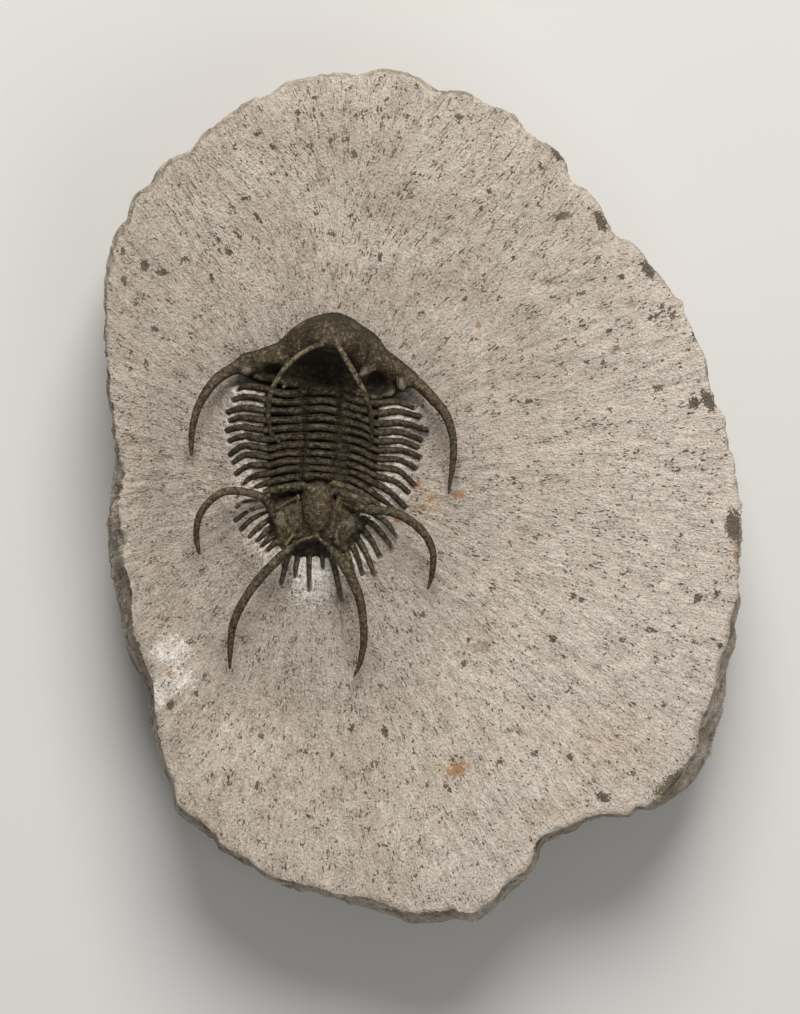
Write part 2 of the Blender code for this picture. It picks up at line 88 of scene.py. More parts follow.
# The slab's widest outline in photograph pixels, clockwise from the top
GIRTH_PIXELS = [
    (330, 73), (356, 74), (375, 70), (390, 69), (406, 72), (413, 75), (421, 77), (429, 83), (441, 90),
    (453, 90), (468, 93), (486, 101), (501, 107), (512, 112), (522, 125), (536, 136), (549, 145),
    (560, 152), (566, 161), (571, 177), (585, 190), (599, 204), (606, 216), (618, 235), (630, 241),
    (640, 248), (649, 263), (664, 282), (674, 295), (683, 301), (684, 309), (692, 326), (698, 340),
    (706, 356), (709, 375), (711, 387), (716, 395), (716, 402), (726, 417), (729, 428), (729, 443),
    (736, 460), (736, 473), (740, 496), (743, 506), (743, 539), (740, 559), (741, 579), (741, 599),
    (737, 620), (737, 641), (731, 658), (726, 676), (726, 695), (720, 719), (712, 741), (712, 756),
    (701, 768), (695, 777), (683, 791), (666, 804), (651, 811), (640, 810), (631, 818), (604, 818),
    (579, 828), (560, 837), (548, 841), (540, 850), (539, 859), (531, 876), (518, 887), (508, 897),
    (484, 918), (474, 922), (455, 919), (440, 922), (422, 924), (407, 922), (378, 911), (360, 906),
    (340, 903), (320, 895), (292, 889), (265, 879), (247, 865), (220, 849), (215, 842), (199, 829),
    (183, 817), (176, 808), (169, 785), (156, 747), (150, 720), (147, 694), (139, 678), (128, 653),
    (124, 642), (121, 625), (118, 607), (115, 587), (110, 572), (107, 549), (106, 531), (104, 506),
    (106, 500), (111, 481), (114, 465), (112, 437), (110, 412), (107, 389), (108, 377), (105, 367),
    (104, 350), (104, 322), (104, 294), (106, 274), (110, 253), (114, 238), (119, 227), (127, 219),
    (128, 212), (134, 195), (149, 184), (159, 169), (171, 158), (190, 147), (203, 131), (216, 124),
    (229, 114), (252, 100), (266, 96), (274, 89), (288, 81), (317, 75),
]

# How far the worked face's edge stands in from that outline, in pixels, by compass direction
# about the slab's origin
FACE_EDGE_INSET = [
    (0, 6), (20, 3), (60, 2.5), (95, 3), (106, 9), (118, 20), (128, 28), (136, 26), (146, 12), (156, 14),
    (170, 18), (184, 20), (200, 14), (212, 12), (222, 14), (236, 22), (252, 26), (262, 26), (272, 20),
    (280, 7), (300, 8), (312, 12), (326, 14), (340, 12), (352, 9),
]

# Spots on the limestone in photograph pixels: middle, half sizes and, on some, a turn in degrees
DARK_SPOTS = [
    (603, 797, 9, 6, -30), (171, 705, 5, 5), (156, 728, 3, 7, 15), (534, 753, 4.5, 4.5),
    (569, 757, 3.5, 5, 30), (571, 692, 7, 3), (697, 598, 4, 7, -35), (717, 594, 4, 6, -30),
    (735, 603, 3, 5), (720, 648, 3, 7), (623, 640, 5, 3), (673, 626, 6, 2.4, -20),
    (652, 630, 6, 2.2, -20), (582, 600, 4, 3), (464, 665, 3.5, 5), (708, 723, 3, 8), (664, 706, 4, 3),
    (550, 707, 2.5, 4, 20), (697, 746, 4, 3), (719, 680, 5, 3), (352, 727, 3, 4.5),
    (384.5, 732, 3.2, 8, 12), (228, 778, 2.6, 3.5), (307, 816, 4, 3), (336, 842, 3, 3), (370, 829, 7, 3),
    (385, 844, 7, 2.4), (197, 694, 4, 2.6), (191, 642, 6, 3), (332, 753, 2.4, 5), (310, 146, 4.5, 3.5),
    (257, 134, 3.4, 3), (272, 147, 3, 3), (298, 113, 4.5, 3.4), (315, 98, 4.5, 2.6), (357, 116, 3.4, 3),
    (387, 118, 3, 3), (406, 116, 5, 2.4), (386, 100, 3.4, 2.6), (234, 145, 2.8, 2.8), (229, 252, 4, 3.4),
    (211, 276, 2.4, 6, 15), (246, 198, 5, 2.8), (237, 235, 7, 2.4, -45), (216, 237, 11, 2.2, -42),
    (258, 218, 9, 2.2, -50), (351, 215, 3.6, 2.6), (332, 234, 4.5, 2.6), (380, 257, 3, 6),
    (155, 329, 5, 3, -20), (146, 363, 3, 6), (273, 174, 4, 2.4, -20), (288, 175, 5, 2.2, -35),
    (601, 222, 6, 12, 20), (648, 270, 6, 12, 32), (557, 155, 4, 9, 35), (652, 318, 6, 3),
    (660, 307, 3, 6), (603, 362, 2.6, 5), (586, 362, 5, 2.4), (708, 400, 7, 14, 30), (693, 404, 6, 6),
    (622, 277, 5, 3.4), (597, 258, 3.6, 3), (514, 258, 3.2, 3), (489, 191, 3.6, 3.4), (581, 206, 3.4, 3),
    (671, 313, 5, 7, 25), (541, 166, 4.5, 4.5), (529, 401, 5, 2.6), (518, 402, 3, 2.4),
    (465, 298, 4.5, 3.2), (733, 525, 9, 18), (447, 787, 3, 8, 40), (610, 331, 4, 3), (515, 232, 3, 2.6),
    (610, 410, 4, 3), (676, 470, 4, 4), (540, 845, 7, 9),
]
GREEN_SPOTS = [
    (562, 216, 9.5, 5, 8), (551, 229, 2.6, 3.2), (459, 119, 5.5, 5.5), (345, 141, 4.5, 4),
    (354, 154, 4.5, 4.5), (186, 259, 7, 3.2, 10), (145, 266, 5, 6), (162, 272, 7, 3.6), (124, 252, 4, 4),
    (124, 280, 3.4, 6), (135, 304, 4, 2.8), (580, 293, 6, 3.4), (658, 388, 7, 4, 15), (695, 336, 3.6, 9),
    (552, 638, 5, 5), (632, 773, 4.5, 3.4), (672, 783, 24, 9, 38), (261, 737, 4.5, 3.4),
    (438, 915, 26, 5),
]
BROWN_SPOTS = [
    (631, 305, 5.5, 7), (593, 322, 6, 3.6, 20), (573, 238, 2.4, 7, -8), (314, 246, 2.4, 11),
    (341, 600, 11, 9), (615, 350, 6, 7), (481, 647, 12, 9), (548, 282, 11, 6), (738, 552, 5, 14),
    (398, 520, 7, 5), (290, 578, 8, 16, -20), (356, 775, 6, 5),
]
RUST_SPOTS = [
    (460, 495, 8, 5), (417, 484, 5, 4), (431, 499, 4, 3), (424, 506, 4, 2.4), (457, 770, 16, 8, 25),
    (170, 674, 4, 5), (735, 556, 4, 9), (398, 520, 5, 4), (479, 325, 4, 4), (376, 300, 3, 2.4),
]
YELLOW_SPOTS = [
    (428, 500, 26, 20, -20), (450, 765, 26, 14, 20), (560, 810, 50, 14, 8), (610, 745, 60, 40),
    (166, 671, 8, 9),
]
CHALK_SPOTS = [
    (172, 650, 22, 17), (178, 680, 20, 15), (160, 692, 9, 18), (311, 580, 29, 30),
]

# Places on the fossil: the hollows of the head and beside the tail, painted with very dark shade, and pale
# places, which are mostly painted highlights
HOLLOW_SHADE_SPOTS = [
    (320, 374, 46, 31), (275, 374, 18, 11, 8), (377, 385, 18, 15), (310, 549, 24, 11),
    (283, 498, 17, 4.5, 20), (271, 522, 4.5, 25, 22), (369, 519, 14, 6, -8), (356, 536, 16, 6, 38),
    (298, 531, 4, 3), (322, 532, 6, 3), (350, 502.5, 12, 2.6, -18), (348, 392, 12, 9),
]
# The pale places are painted highlights on the eyes, knobs and ridges, and a few paler patches of the shell
PALE_AND_HIGHLIGHT_SPOTS = [
    (247, 371, 6.5, 5), (402, 385, 5.5, 7.5, 20), (364, 372, 10, 6, -20), (315, 389, 3, 2.4),
    (325, 391, 3.4, 2.8), (320, 400, 3.4, 2.4), (284, 388, 3.8, 3.2), (278, 401, 3, 3),
    (321, 452.5, 5, 2.6), (363, 468, 5, 2.6), (307, 551, 2.6, 2.6), (309, 488, 2.4, 2.4),
    (328, 332, 3.4, 14, 12), (356, 327, 4, 10, 50), (300, 325, 9, 3, 38), (354, 495, 7, 2.4, -22),
    (367, 499, 7, 2.4, -25), (350, 523, 9, 6, 35), (281, 518, 7, 15, 14), (285, 427, 9, 2.4),
    (320, 427, 9, 2.4), (283, 437, 7, 2.2), (330, 409, 8, 2.2, -5), (330, 418, 9, 2.2, -8),
    (357, 416, 6, 2.2, -8), (358, 459, 9, 2.4, -12), (290, 453, 7, 2.2, 5),
]


# The fossil's lines in photograph pixels, each point with its height and radius in millimetres
LEFT_HORN = [
    (329, 341, 8.4, 0.50), (322, 344, 9.4, 0.40), (313, 347, 10.6, 0.36), (303, 352.5, 11.6, 0.36),
    (294, 359, 12.5, 0.39), (286, 367, 13.0, 0.39), (278, 378, 13.1, 0.38), (272, 390, 12.9, 0.38),
    (269, 403, 12.4, 0.37), (268.5, 417, 11.6, 0.36), (270, 429, 10.8, 0.33), (275, 438, 9.9, 0.28),
    (283, 445, 8.9, 0.2),
]
RIGHT_HORN = [
    (336, 341, 8.4, 0.50), (338.5, 346, 9.6, 0.44), (342.5, 353, 10.9, 0.43), (348, 363, 12.0, 0.44),
    (354, 373, 12.9, 0.44), (361, 386, 13.2, 0.42), (366, 398, 13.0, 0.40), (370, 412, 12.5, 0.38),
    (372, 426, 11.7, 0.34), (372, 438, 10.8, 0.28), (370, 447, 10.0, 0.2),
]
LEFT_CHEEK_SPINE = [
    (243, 365, 1.9, 1.15), (231.7, 369.5, 2.4, 0.86), (216.7, 379.5, 3.0, 0.78),
    (204.9, 394.3, 3.3, 0.68), (196.8, 410.5, 3.4, 0.57), (192.6, 427.7, 3.0, 0.50),
    (191.3, 441, 2.4, 0.43), (191.5, 453, 1.7, 0.27),
]
RIGHT_CHEEK_SPINE = [
    (407, 378, 1.9, 1.1), (419, 384.5, 2.4, 0.88), (432.5, 398.5, 3.0, 0.80), (445, 413.4, 3.4, 0.69),
    (451.7, 431.6, 3.5, 0.60), (453.6, 449.8, 3.1, 0.54), (452.4, 467.9, 2.4, 0.46),
    (449.8, 484, 1.6, 0.3), (448.6, 493, 1.1, 0.16),
]
LEFT_FRONT_TAIL_SPINE = [
    (274, 522, 2.4, 0.45), (271, 510, 3.0, 0.55), (266, 501, 3.6, 0.62), (259.4, 496.2, 4.3, 0.64),
    (250.8, 493.3, 4.6, 0.60), (237.4, 490.9, 5.0, 0.58), (224.4, 491.6, 5.2, 0.56),
    (215, 497, 5.0, 0.55), (206.5, 504.8, 4.7, 0.53), (199.7, 515, 4.2, 0.51), (196.6, 527.4, 3.6, 0.48),
    (196.8, 540.8, 2.7, 0.42), (199.5, 553.5, 1.8, 0.2),
]
RIGHT_FRONT_TAIL_SPINE = [
    (340, 499, 2.9, 0.35), (349, 504, 3.4, 0.55), (359, 507.5, 4.1, 0.68), (371.3, 510.2, 4.7, 0.69),
    (384.7, 510.9, 5.1, 0.68), (399.1, 514.4, 5.3, 0.67), (414.4, 524.1, 5.1, 0.64),
    (426.8, 537, 4.6, 0.59), (432.9, 552.3, 3.9, 0.53), (432.9, 566.6, 3.0, 0.47),
    (430.6, 580, 2.1, 0.35), (427.8, 589, 1.5, 0.14),
]
LEFT_REAR_TAIL_SPINE = [
    (317, 536, 3.7, 0.22), (305, 539, 3.7, 0.26), (294, 546, 3.8, 0.48), (280.4, 557, 4.3, 0.71),
    (266.1, 571.4, 4.9, 0.69), (251.7, 588.6, 5.2, 0.66), (241.6, 604.9, 5.1, 0.63),
    (234.1, 621.1, 4.5, 0.58), (231.1, 637.4, 3.6, 0.50), (229.9, 653.7, 2.5, 0.40),
    (229.8, 668, 1.5, 0.2),
]
RIGHT_REAR_TAIL_SPINE = [
    (317, 536, 3.7, 0.22), (324, 543, 3.8, 0.32), (333, 551.5, 4.1, 0.66), (344.5, 564.7, 4.8, 0.80),
    (353.7, 582.9, 5.2, 0.75), (360.2, 601, 5.2, 0.66), (362.7, 617.3, 4.8, 0.60),
    (364, 634.5, 4.1, 0.55), (362.9, 648.9, 3.2, 0.50), (359.8, 663.2, 2.2, 0.40), (353.5, 678, 1.3, 0.1),
]
CHEEK_RIDGES = [
    [(284, 356, 2.0, 1.9), (266, 359, 1.9, 1.6), (246, 364, 1.8, 1.35)],
    [(378, 360, 2.2, 1.9), (393, 368, 2.0, 1.6), (408, 378, 1.8, 1.3)],
]
NECK_RING = [
    (290, 384, 1.6, 0.6), (305, 386, 2.0, 0.6), (322, 388, 2.3, 0.6), (340, 390, 2.0, 0.6),
    (356, 393, 1.6, 0.6),
]
REAR_RIMS = [
    [(288, 383, 1.5, 0.5), (274, 380, 1.4, 0.5), (256, 376, 1.4, 0.5)],
    [(359, 394, 1.5, 0.5), (376, 397, 1.5, 0.5), (392, 393, 1.5, 0.5)],
]
HEAD_FURROWS = [
    [(297, 329, 6.4, 0.5), (289, 340, 5.2, 0.5), (283, 352, 3.9, 0.4)],
    [(371, 343, 5.3, 0.5), (371, 354, 5.0, 0.5), (368, 365, 4.4, 0.4)],
]
EYE_RIDGE = [(356, 378, 3.1, 0.35), (364, 373, 3.6, 0.42), (373, 369, 3.6, 0.4)]
TAIL_RIDGES = [
    [(298, 499, 3.4, 0.20), (297, 512, 3.1, 0.24), (297, 524, 3.0, 0.22), (292, 536, 3.1, 0.22),
     (286, 545, 3.2, 0.35)],
    [(295, 506, 3.1, 0.16), (292, 520, 2.9, 0.18), (289, 532, 2.8, 0.18)],
    [(338, 499, 3.4, 0.22), (336, 512, 3.2, 0.26), (333, 524, 3.1, 0.24), (331, 536, 3.2, 0.22)],
    [(341, 506, 3.1, 0.18), (339, 518, 3.0, 0.22), (337, 530, 3.0, 0.24), (337, 543, 3.3, 0.45)],
    [(304, 531, 2.7, 0.18), (311, 532, 2.8, 0.18), (317, 535, 3.4, 0.18), (327, 533, 2.9, 0.18)],
    [(272, 511, 2.9, 0.18), (285, 504, 3.1, 0.20), (298, 496, 3.3, 0.22)],
]
TAIL_RIBS = [
    [(266, 491, 3.1, 0.45), (281, 488.5, 3.3, 0.60), (304, 485, 3.6, 0.60)],
    [(333, 483, 3.6, 0.5), (354, 489, 3.4, 0.50), (367, 496, 3.0, 0.50), (378, 504, 2.6, 0.40)],
    [(336, 492, 3.4, 0.4), (355, 498, 3.3, 0.42), (367, 504, 3.1, 0.40)],
]
LEFT_TAIL_GROOVE = [(268, 504, 3.4, 0.30), (283, 499, 3.9, 0.34), (298, 491.5, 4.2, 0.28)]
RIGHT_TAIL_GROOVE = [(344, 501, 3.7, 0.18), (357, 503.5, 3.9, 0.18)]

# Knobs on the neck ring: how tall they are, and the pixel and the height of each
KNOB_SIZE = 0.4
NECK_KNOBS = [(315, 388, 3.0), (325, 390.5, 3.0), (301, 389, 2.6), (334, 391, 2.7), (284, 387, 2.4)]

# Rounded lumps and hollows in millimetres: centre over the fossil's base, half sizes and a turn
SWELLINGS = [
    ((-13.1, 22.5, 2.2), (4.7, 3.55, 7.3), -5),
    ((-17.3, 21.6, 1.4), (3.1, 2.6, 4.2), 22),
    ((-8.7, 20.9, 1.4), (3.1, 2.9, 4.2), -30),
]
EYE_HOLLOWS = [((-21.8, 18.0, 3.6), (1.6, 1.0, 2.6), 0), ((-6.9, 16.4, 3.6), (1.6, 1.5, 2.8), -20)]
EYES = [((-25.6, 18.1, 2.3), (1.0, 0.8, 1.35), 0), ((-3.1, 16.0, 2.3), (0.85, 1.1, 1.4), 0)]
TAIL_AXIS = ((-15.35, -1.4, 2.4), (2.5, 4.5, 2.6), 0)

# The outlines of the head and the tail, the tail's edge where the stone meets it, and the tail's
# short spines from root to tip
HEAD_OUTLINE = [
    (240, 356), (257, 350), (276, 343), (283, 338), (290, 332), (297, 325), (307, 319), (319, 316),
    (331, 313.5), (341, 314), (351, 319), (361, 326), (372, 335), (381, 349), (394, 359), (404, 367),
    (403, 386), (394, 396), (380, 397), (366, 395), (350, 394), (330, 393), (308, 391), (290, 390),
    (276, 388), (262, 383), (250, 379), (243, 374),
]
TAIL_OUTLINE = [
    (273, 488), (290, 488), (318, 482), (345, 489), (362, 500), (372, 512), (366, 526), (358, 538),
    (349, 549), (338, 558), (328, 558), (317, 556), (303, 557), (292, 556), (283, 552), (276, 541),
    (270, 528), (264, 513), (264, 500),
]
TAIL_EDGE = [
    (357, 520), (350, 545), (337, 558), (317, 557), (298, 557), (282, 549), (272, 525), (266, 500),
]
SHORT_SPINES = [
    ((256, 501), (245, 502), (237, 507)), ((266, 505), (250, 510), (235.5, 520.5)),
    ((268, 511), (252, 519), (241, 529.5)), ((270, 519), (260, 526), (249.5, 537)),
    ((272, 527), (265, 533), (257, 541.5)), ((275, 534), (269, 539), (262, 546.5)),
    ((279, 541), (273, 545), (267, 551.5)),
    ((366, 511), (384, 520), (396, 538)), ((363, 518), (379, 530), (392, 549)),
    ((359, 526), (370, 538), (379, 556)), ((355, 534), (365, 551), (374.5, 576)),
    ((350, 541), (357, 556), (362, 574)), ((345, 548), (350, 562), (353, 578)),
    ((290, 549), (286, 563), (281, 583)), ((300, 546), (297, 560), (294.5, 577)),
    ((309, 545), (309, 562), (309, 590)), ((321, 546), (322, 557), (323, 569)),
    ((330, 550), (336, 574), (341, 600)),
]

# The body from the head to the tail, in pixels: where each ring crosses the axis and its ribs
# pass the middle of each side, and the knee, the bow and the tip of its free spines
RING_CRESTS = [391, 400, 408.6, 417.4, 427, 436, 445, 453, 461, 468, 475]
RING_X = (324.5, 317.5)
AXIS_HALF_WIDTH = 19.5
LEFT_SIDE = [
    ((285, 394), (266, 389), (247, 386), (238, 390)),
    ((285, 402.5), (265, 399.5), (244, 397), (233, 400.5)),
    ((285, 411), (264, 410), (242, 408), (227.5, 412.5)),
    ((285, 420), (264, 420), (242, 417.5), (229.5, 421)),
    ((285, 428), (264, 430), (242, 427), (226.5, 431)),
    ((285, 436.5), (266, 439.5), (244, 436.5), (229.5, 441)),
    ((286, 445), (268, 449), (244, 445.5), (230, 455)),
    ((286, 453), (268, 457), (246, 455), (233, 463)),
    ((286, 461), (269, 465), (249, 466), (236, 474)),
    ((287, 469), (271, 473), (252, 477), (243, 485.5)),
    ((287, 478), (271, 482), (259, 486), (252, 491)),
]
RIGHT_SIDE = [
    ((358, 401), (377.5, 403.5), (396, 401.5), (414, 408)),
    ((358, 408.5), (377.5, 413.5), (398, 411.5), (420.5, 417)),
    ((358, 416.5), (377.5, 423.5), (402, 423), (429, 431)),
    ((358, 424.5), (377.5, 432.5), (400, 432), (422, 440.5)),
    ((358, 432.5), (377.5, 441.5), (400, 441), (418, 447.5)),
    ((358, 441), (377.5, 450), (402, 450.5), (420.5, 457.5)),
    ((357, 449.5), (377, 458.5), (399, 460), (416, 468.5)),
    ((357, 458), (376, 467), (398, 470.5), (414, 485)),
    ((356, 466), (375, 475.5), (394, 481), (408.5, 492.5)),
    ((355, 473), (373, 482), (390, 492.5), (405, 507)),
    ((353, 480.5), (368, 489), (381.5, 499.5), (391, 507)),
]

# Heights of the body over the fossil's underside, in millimetres
RING_TOP = 6.2
FURROW_TOP = 3.75
RIB_TOP = 4.8
KNEE_TOP = 3.9
BOW_TOP = 2.8
TIP_TOP = 1.2
SHORT_SPINE_TOPS = (2.2, 1.6, 0.6)

# The tail's short spines from root to tip: height of the middle, and radius
SHORT_SPINE_ROD = [(1.9, 0.48), (1.4, 0.42), (0.5, 0.16)]

# How much lower each body band is than the one before it
RING_FALL = 0.12
FURROW_FALL = 0.04
RIB_FALL = 0.08

# Half width and roundness of a band: at its middle, and then beside the middle and at the furrow,
# rib, knee, bow and tip of each side
BAND_MIDDLE = (0.62, 0.0)
BAND_SIDE = [(0.62, 0.0), (0.61, 0.0), (0.61, 0.0), (0.54, 0.5), (0.485, 1.0), (0.22, 1.0)]

# The limestone left between the free spines: distance out from the body, and height over the bed
APRON_REACH = [-1.3, -0.35, 0.2, 3.2, 5.2, 6.6, 8.0]
APRON_RISE = [0.0, 2.2, 3.55, 2.65, 1.25, 0.45, 0.0]

# The rectangle that it lies in, where it ends in front of the first spines at the left and the
# right, and the depth of the groove round each spine
APRON_HALF_WIDTH = 18
APRON_ENDS = (-20, 22)
APRON_FRONT = (16.6, 13.9)
SPINE_GROOVE = 0.7

# Chips along the slab's widest line and along the face's edge: how far the line is moved out to
# make up for them, and the seed, count and depth of each row
GIRTH_CHIPS = (0.12, [(61, 110, 0.45), (62, 420, 0.18)])
EDGE_CHIPS = (0.15, [(63, 150, 0.7), (64, 500, 0.25)])

# Unevenness of the worked face: seed, size and depth, and for the waves along the tool marks the
# seed, how close they lie side by side and one behind another, and depth
FACE_WAVES = [(1, 17, 0.30), (2, 6, 0.14)]
TOOL_WAVES = [(3, 16, 6, 0.13), (4, 42, 12, 0.09)]
FACE_GRAIN = (5, 0.8, 0.05)

# Broken facets of the flank: seed, size in plan and in height, and depth
FLANK_FACETS = [(21, 6.5, 4.2, 0.75), (22, 2.6, 1.9, 0.32), (23, 0.95, 0.8, 0.12)]

# The slab's rings of points: how many points each has, how far they lie close together, how far
# they are round, and the shares of the way down the flank and of the base
SLAB_SIDES = 1024
CLOSE_REACH = 20.0
ROUND_REACH = 26.0
FLANK_SHARES = np.concatenate([[0.004, 0.012, 0.025, 0.04], np.linspace(0.06, 1.0, 56)])
BASE_SHARES = (0.985, 0.9, 0.6, 0.3)
SLAB_TRIANGLES = 190000

# The fossil's fields: their lowest and highest corners and the step of their grids
HEAD_BOX = ((-35.5, -1.5, FOSSIL_BASE - 0.8), (6.5, 28.0, FOSSIL_BASE + 14.2), 0.14)
TAIL_BOX = ((-35.0, -28.0, FOSSIL_BASE - 0.8), (3.5, 3.5, FOSSIL_BASE + 7.0), 0.13)

# The seams between the middle head plate and the cheeks
LEFT_SUTURE = -23.8
RIGHT_SUTURE = -3.6
SEAM_OVERLAP = 0.3

# A band's points from its front edge to its rear edge, the depth of the groove beside it and of
# the furrow on it, and the pixel column midway between its axis furrows
ACROSS = np.cos(np.linspace(0.0, math.pi, 25))
GROOVE_DEPTH = 0.62
SECOND_FURROW = 0.12
FURROW_MIDDLE = 322.5

# Noise seeds of the first band's grooves and of its worn knobs and grain
UNEVEN_SEED, KNOB_SEED, WORN_SEED = 111, 71, 91

# How far a point stands out where the shell is palest, with its painted highlight on worn ridges
RIDGE_FULL = 0.07


def spot_level(x, y, spots):
    """One at the middle of each spot and nought on its edge, for places in millimetres."""
    pixel_x = x / PIXEL + ORIGIN_PIXEL[0]
    pixel_y = ORIGIN_PIXEL[1] - y / PIXEL
    level = np.full(np.shape(x), -1.0)
    for middle_x, middle_y, half_x, half_y, *turn in spots:
        angle = math.radians(turn[0] if turn else 0.0)
        cosine, sine = math.cos(angle), math.sin(angle)
        right, up = pixel_x - middle_x, middle_y - pixel_y
        along, across = right * cosine + up * sine, up * cosine - right * sine
        level = np.maximum(level, 1.0 - np.hypot(along / half_x, across / half_y))
    return level


# Smooth lines and noise

def through(points, steps, closed=False):
    """A Catmull-Rom line through the points, with the given number of steps for each span."""
    knots = np.array(points, float)
    count = len(knots)
    line = []
    for index in range(count if closed else count - 1):
        if closed:
            before, start, end, after = (knots[(index + shift) % count] for shift in (-1, 0, 1, 2))
        else:
            before, start = knots[max(index - 1, 0)], knots[index]
            end, after = knots[index + 1], knots[min(index + 2, count - 1)]
        for t in np.arange(steps) / steps:
            line.append(0.5 * (2 * start + (end - before) * t
                               + (2 * before - 5 * start + 4 * end - after) * t ** 2
                               + (3 * start - before - 3 * end + after) * t ** 3))
    if not closed:
        line.append(knots[-1])
    return np.array(line)


def smooth_step(value, low=0.0, high=1.0):
    share = np.clip((value - low) / (high - low), 0.0, 1.0)
    return share * share * (3.0 - 2.0 * share)


def mix(start, end, share):
    return start + (end - start) * share


def noise(seed, *coordinates):
    """Smooth noise between about -1 and 1, for two or three arrays of coordinates."""
    chance = np.random.default_rng(seed)
    shuffled = chance.permutation(256)
    slopes = chance.normal(size=(256, len(coordinates)))
    slopes /= np.linalg.norm(slopes, axis=1)[:, None]
    floors = [np.floor(values).astype(int) for values in coordinates]
    parts = [values - floor for values, floor in zip(coordinates, floors)]
    fades = [part ** 3 * (part * (part * 6 - 15) + 10) for part in parts]
    total = 0.0
    for corner in itertools.product((0, 1), repeat=len(coordinates)):
        place = 0
        weight = 1.0
        for floor, fade, step in zip(floors, fades, corner):
            place = shuffled[(place + floor + step) & 255]
            weight = weight * (fade if step else 1.0 - fade)
        slope = slopes[place]
        lean = sum(slope[..., axis] * (parts[axis] - step) for axis, step in enumerate(corner))
        total = total + weight * lean
    return total * 1.5


def facets(seed, *coordinates):
    """Flat broken facets, about one to each unit: how far they stand out, about nought."""
    chance = np.random.default_rng(seed)
    shuffled = chance.permutation(256)
    wander = chance.uniform(0.0, 1.0, (256, 3))
    lean = chance.normal(0.0, 0.7, (256, 3))
    level = chance.uniform(-0.6, 0.6, 256)
    place = np.stack(np.broadcast_arrays(*coordinates), -1)
    floor = np.floor(place).astype(int)
    nearest = np.full(place.shape[:-1], 9.0)
    second = nearest.copy()
    here, beside = np.zeros_like(nearest), np.zeros_like(nearest)
    for step in itertools.product((-1, 0, 1), repeat=3):
        cell = floor + np.array(step)
        pick = 0
        for axis in range(3):
            pick = shuffled[(pick + cell[..., axis]) & 255]
        away = place - cell - wander[pick]
        distance = np.sqrt((away ** 2).sum(axis=-1))
        value = level[pick] + (lean[pick] * away).sum(axis=-1)
        closer = distance < nearest
        next_closer = ~closer & (distance < second)
        second = np.where(closer, nearest, np.where(next_closer, distance, second))
        beside = np.where(closer, here, np.where(next_closer, value, beside))
        nearest = np.where(closer, distance, nearest)
        here = np.where(closer, value, here)
    return mix(beside, here, 0.5 + 0.5 * smooth_step(second - nearest, 0.0, 0.22))


def chips(angle, seed, count, depth):
    """How deep an edge is chipped: hollows side by side with sharp points between them."""
    chance = np.random.default_rng(seed)
    ends = np.sort(chance.uniform(0.0, 1.0, count))
    widths = (ends - np.roll(ends, 1)) % 1.0
    depths = np.minimum(depth * chance.uniform(0.1, 1.0, count) ** 1.5, widths * SLAB_GIRTH * 0.3)
    place = (angle / (2 * math.pi)) % 1.0
    after = np.searchsorted(ends, place) % count
    share = ((place - ends[after - 1]) % 1.0) / widths[after]
    return depths[after] * 4.0 * share * (1.0 - share)


def span_distance(x, y, start, end):
    """The distance from points to a straight span in plan."""
    (ax, ay), (bx, by) = start, end
    length = max((bx - ax) ** 2 + (by - ay) ** 2, 1e-9)
    t = np.clip(((x - ax) * (bx - ax) + (y - ay) * (by - ay)) / length, 0.0, 1.0)
    return np.hypot(x - ax - t * (bx - ax), y - ay - t * (by - ay))


def line_distance(x, y, line):
    """The distance from points to a line in plan."""
    return np.minimum.reduce([span_distance(x, y, *span) for span in zip(line, line[1:])])


def outline_distance(x, y, outline):
    """The distance to a closed outline in plan, negative inside it."""
    nearest = np.full(np.broadcast(x, y).shape, 1e9)
    inside = np.zeros(nearest.shape, bool)
    for (ax, ay), (bx, by) in zip(outline, np.roll(outline, -1, axis=0)):
        nearest = np.minimum(nearest, span_distance(x, y, (ax, ay), (bx, by)))
        if ay != by:
            inside ^= ((ay > y) != (by > y)) & (x < (bx - ax) * (y - ay) / (by - ay) + ax)
    return np.where(inside, -nearest, nearest)


def at_height(x, y, height):
    """Where a point lies that the photograph shows at a place on the sharp plane."""
    share = 1.0 - (height - SHARP_HEIGHT) / CAMERA_DISTANCE
    middle_x, middle_y = PHOTO_MIDDLE
    return middle_x + (x - middle_x) * share, middle_y + (y - middle_y) * share


def seen(pixel_x, pixel_y, height):
    """The place that the photograph shows at a pixel, at a height over the fossil's underside."""
    return at_height(*plan(pixel_x, pixel_y), FOSSIL_BASE + height)


def outline_at(pixels, height):
    return [seen(x, y, height) for x, y in pixels]


# Meshes

def new_mesh(name, points, faces):
    """A mesh from points in millimetres and faces that all have the same number of corners."""
    mesh = bpy.data.meshes.new(name)
    corners = faces.shape[1]
    mesh.vertices.add(len(points))
    mesh.vertices.foreach_set("co", (points * MM).astype(np.float32).ravel())
    mesh.loops.add(faces.size)
    mesh.loops.foreach_set("vertex_index", faces.astype(np.int32).ravel())
    mesh.polygons.add(len(faces))
    mesh.polygons.foreach_set("loop_start", np.arange(0, faces.size, corners, dtype=np.int32))
    mesh.polygons.foreach_set("use_smooth", np.ones(len(faces), bool))
    mesh.update(calc_edges=True)
    mesh.validate()
    return mesh


def read(items, field, width=3):
    values = np.empty(len(items) * width, np.float32)
    items.foreach_get(field, values)
    return values.reshape(-1, width).astype(float)


def points_and_normals(mesh):
    return read(mesh.vertices, "co") / MM, read(mesh.vertices, "normal")


def move_points(mesh, points):
    mesh.vertices.foreach_set("co", (points * MM).astype(np.float32).ravel())
    mesh.update()


def write_value(mesh, name, values):
    attribute = mesh.attributes.new(name, "FLOAT", "POINT")
    attribute.data.foreach_set("value", np.asarray(values, np.float32))


def add_piece(name, mesh, material, nodes):
    """A piece of the model that stands for the given solids."""
    item = bpy.data.objects.new(name, mesh)
    bpy.context.scene.collection.objects.link(item)
    mesh.materials.append(material)
    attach(item, "root")
    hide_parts(*nodes)
    return item


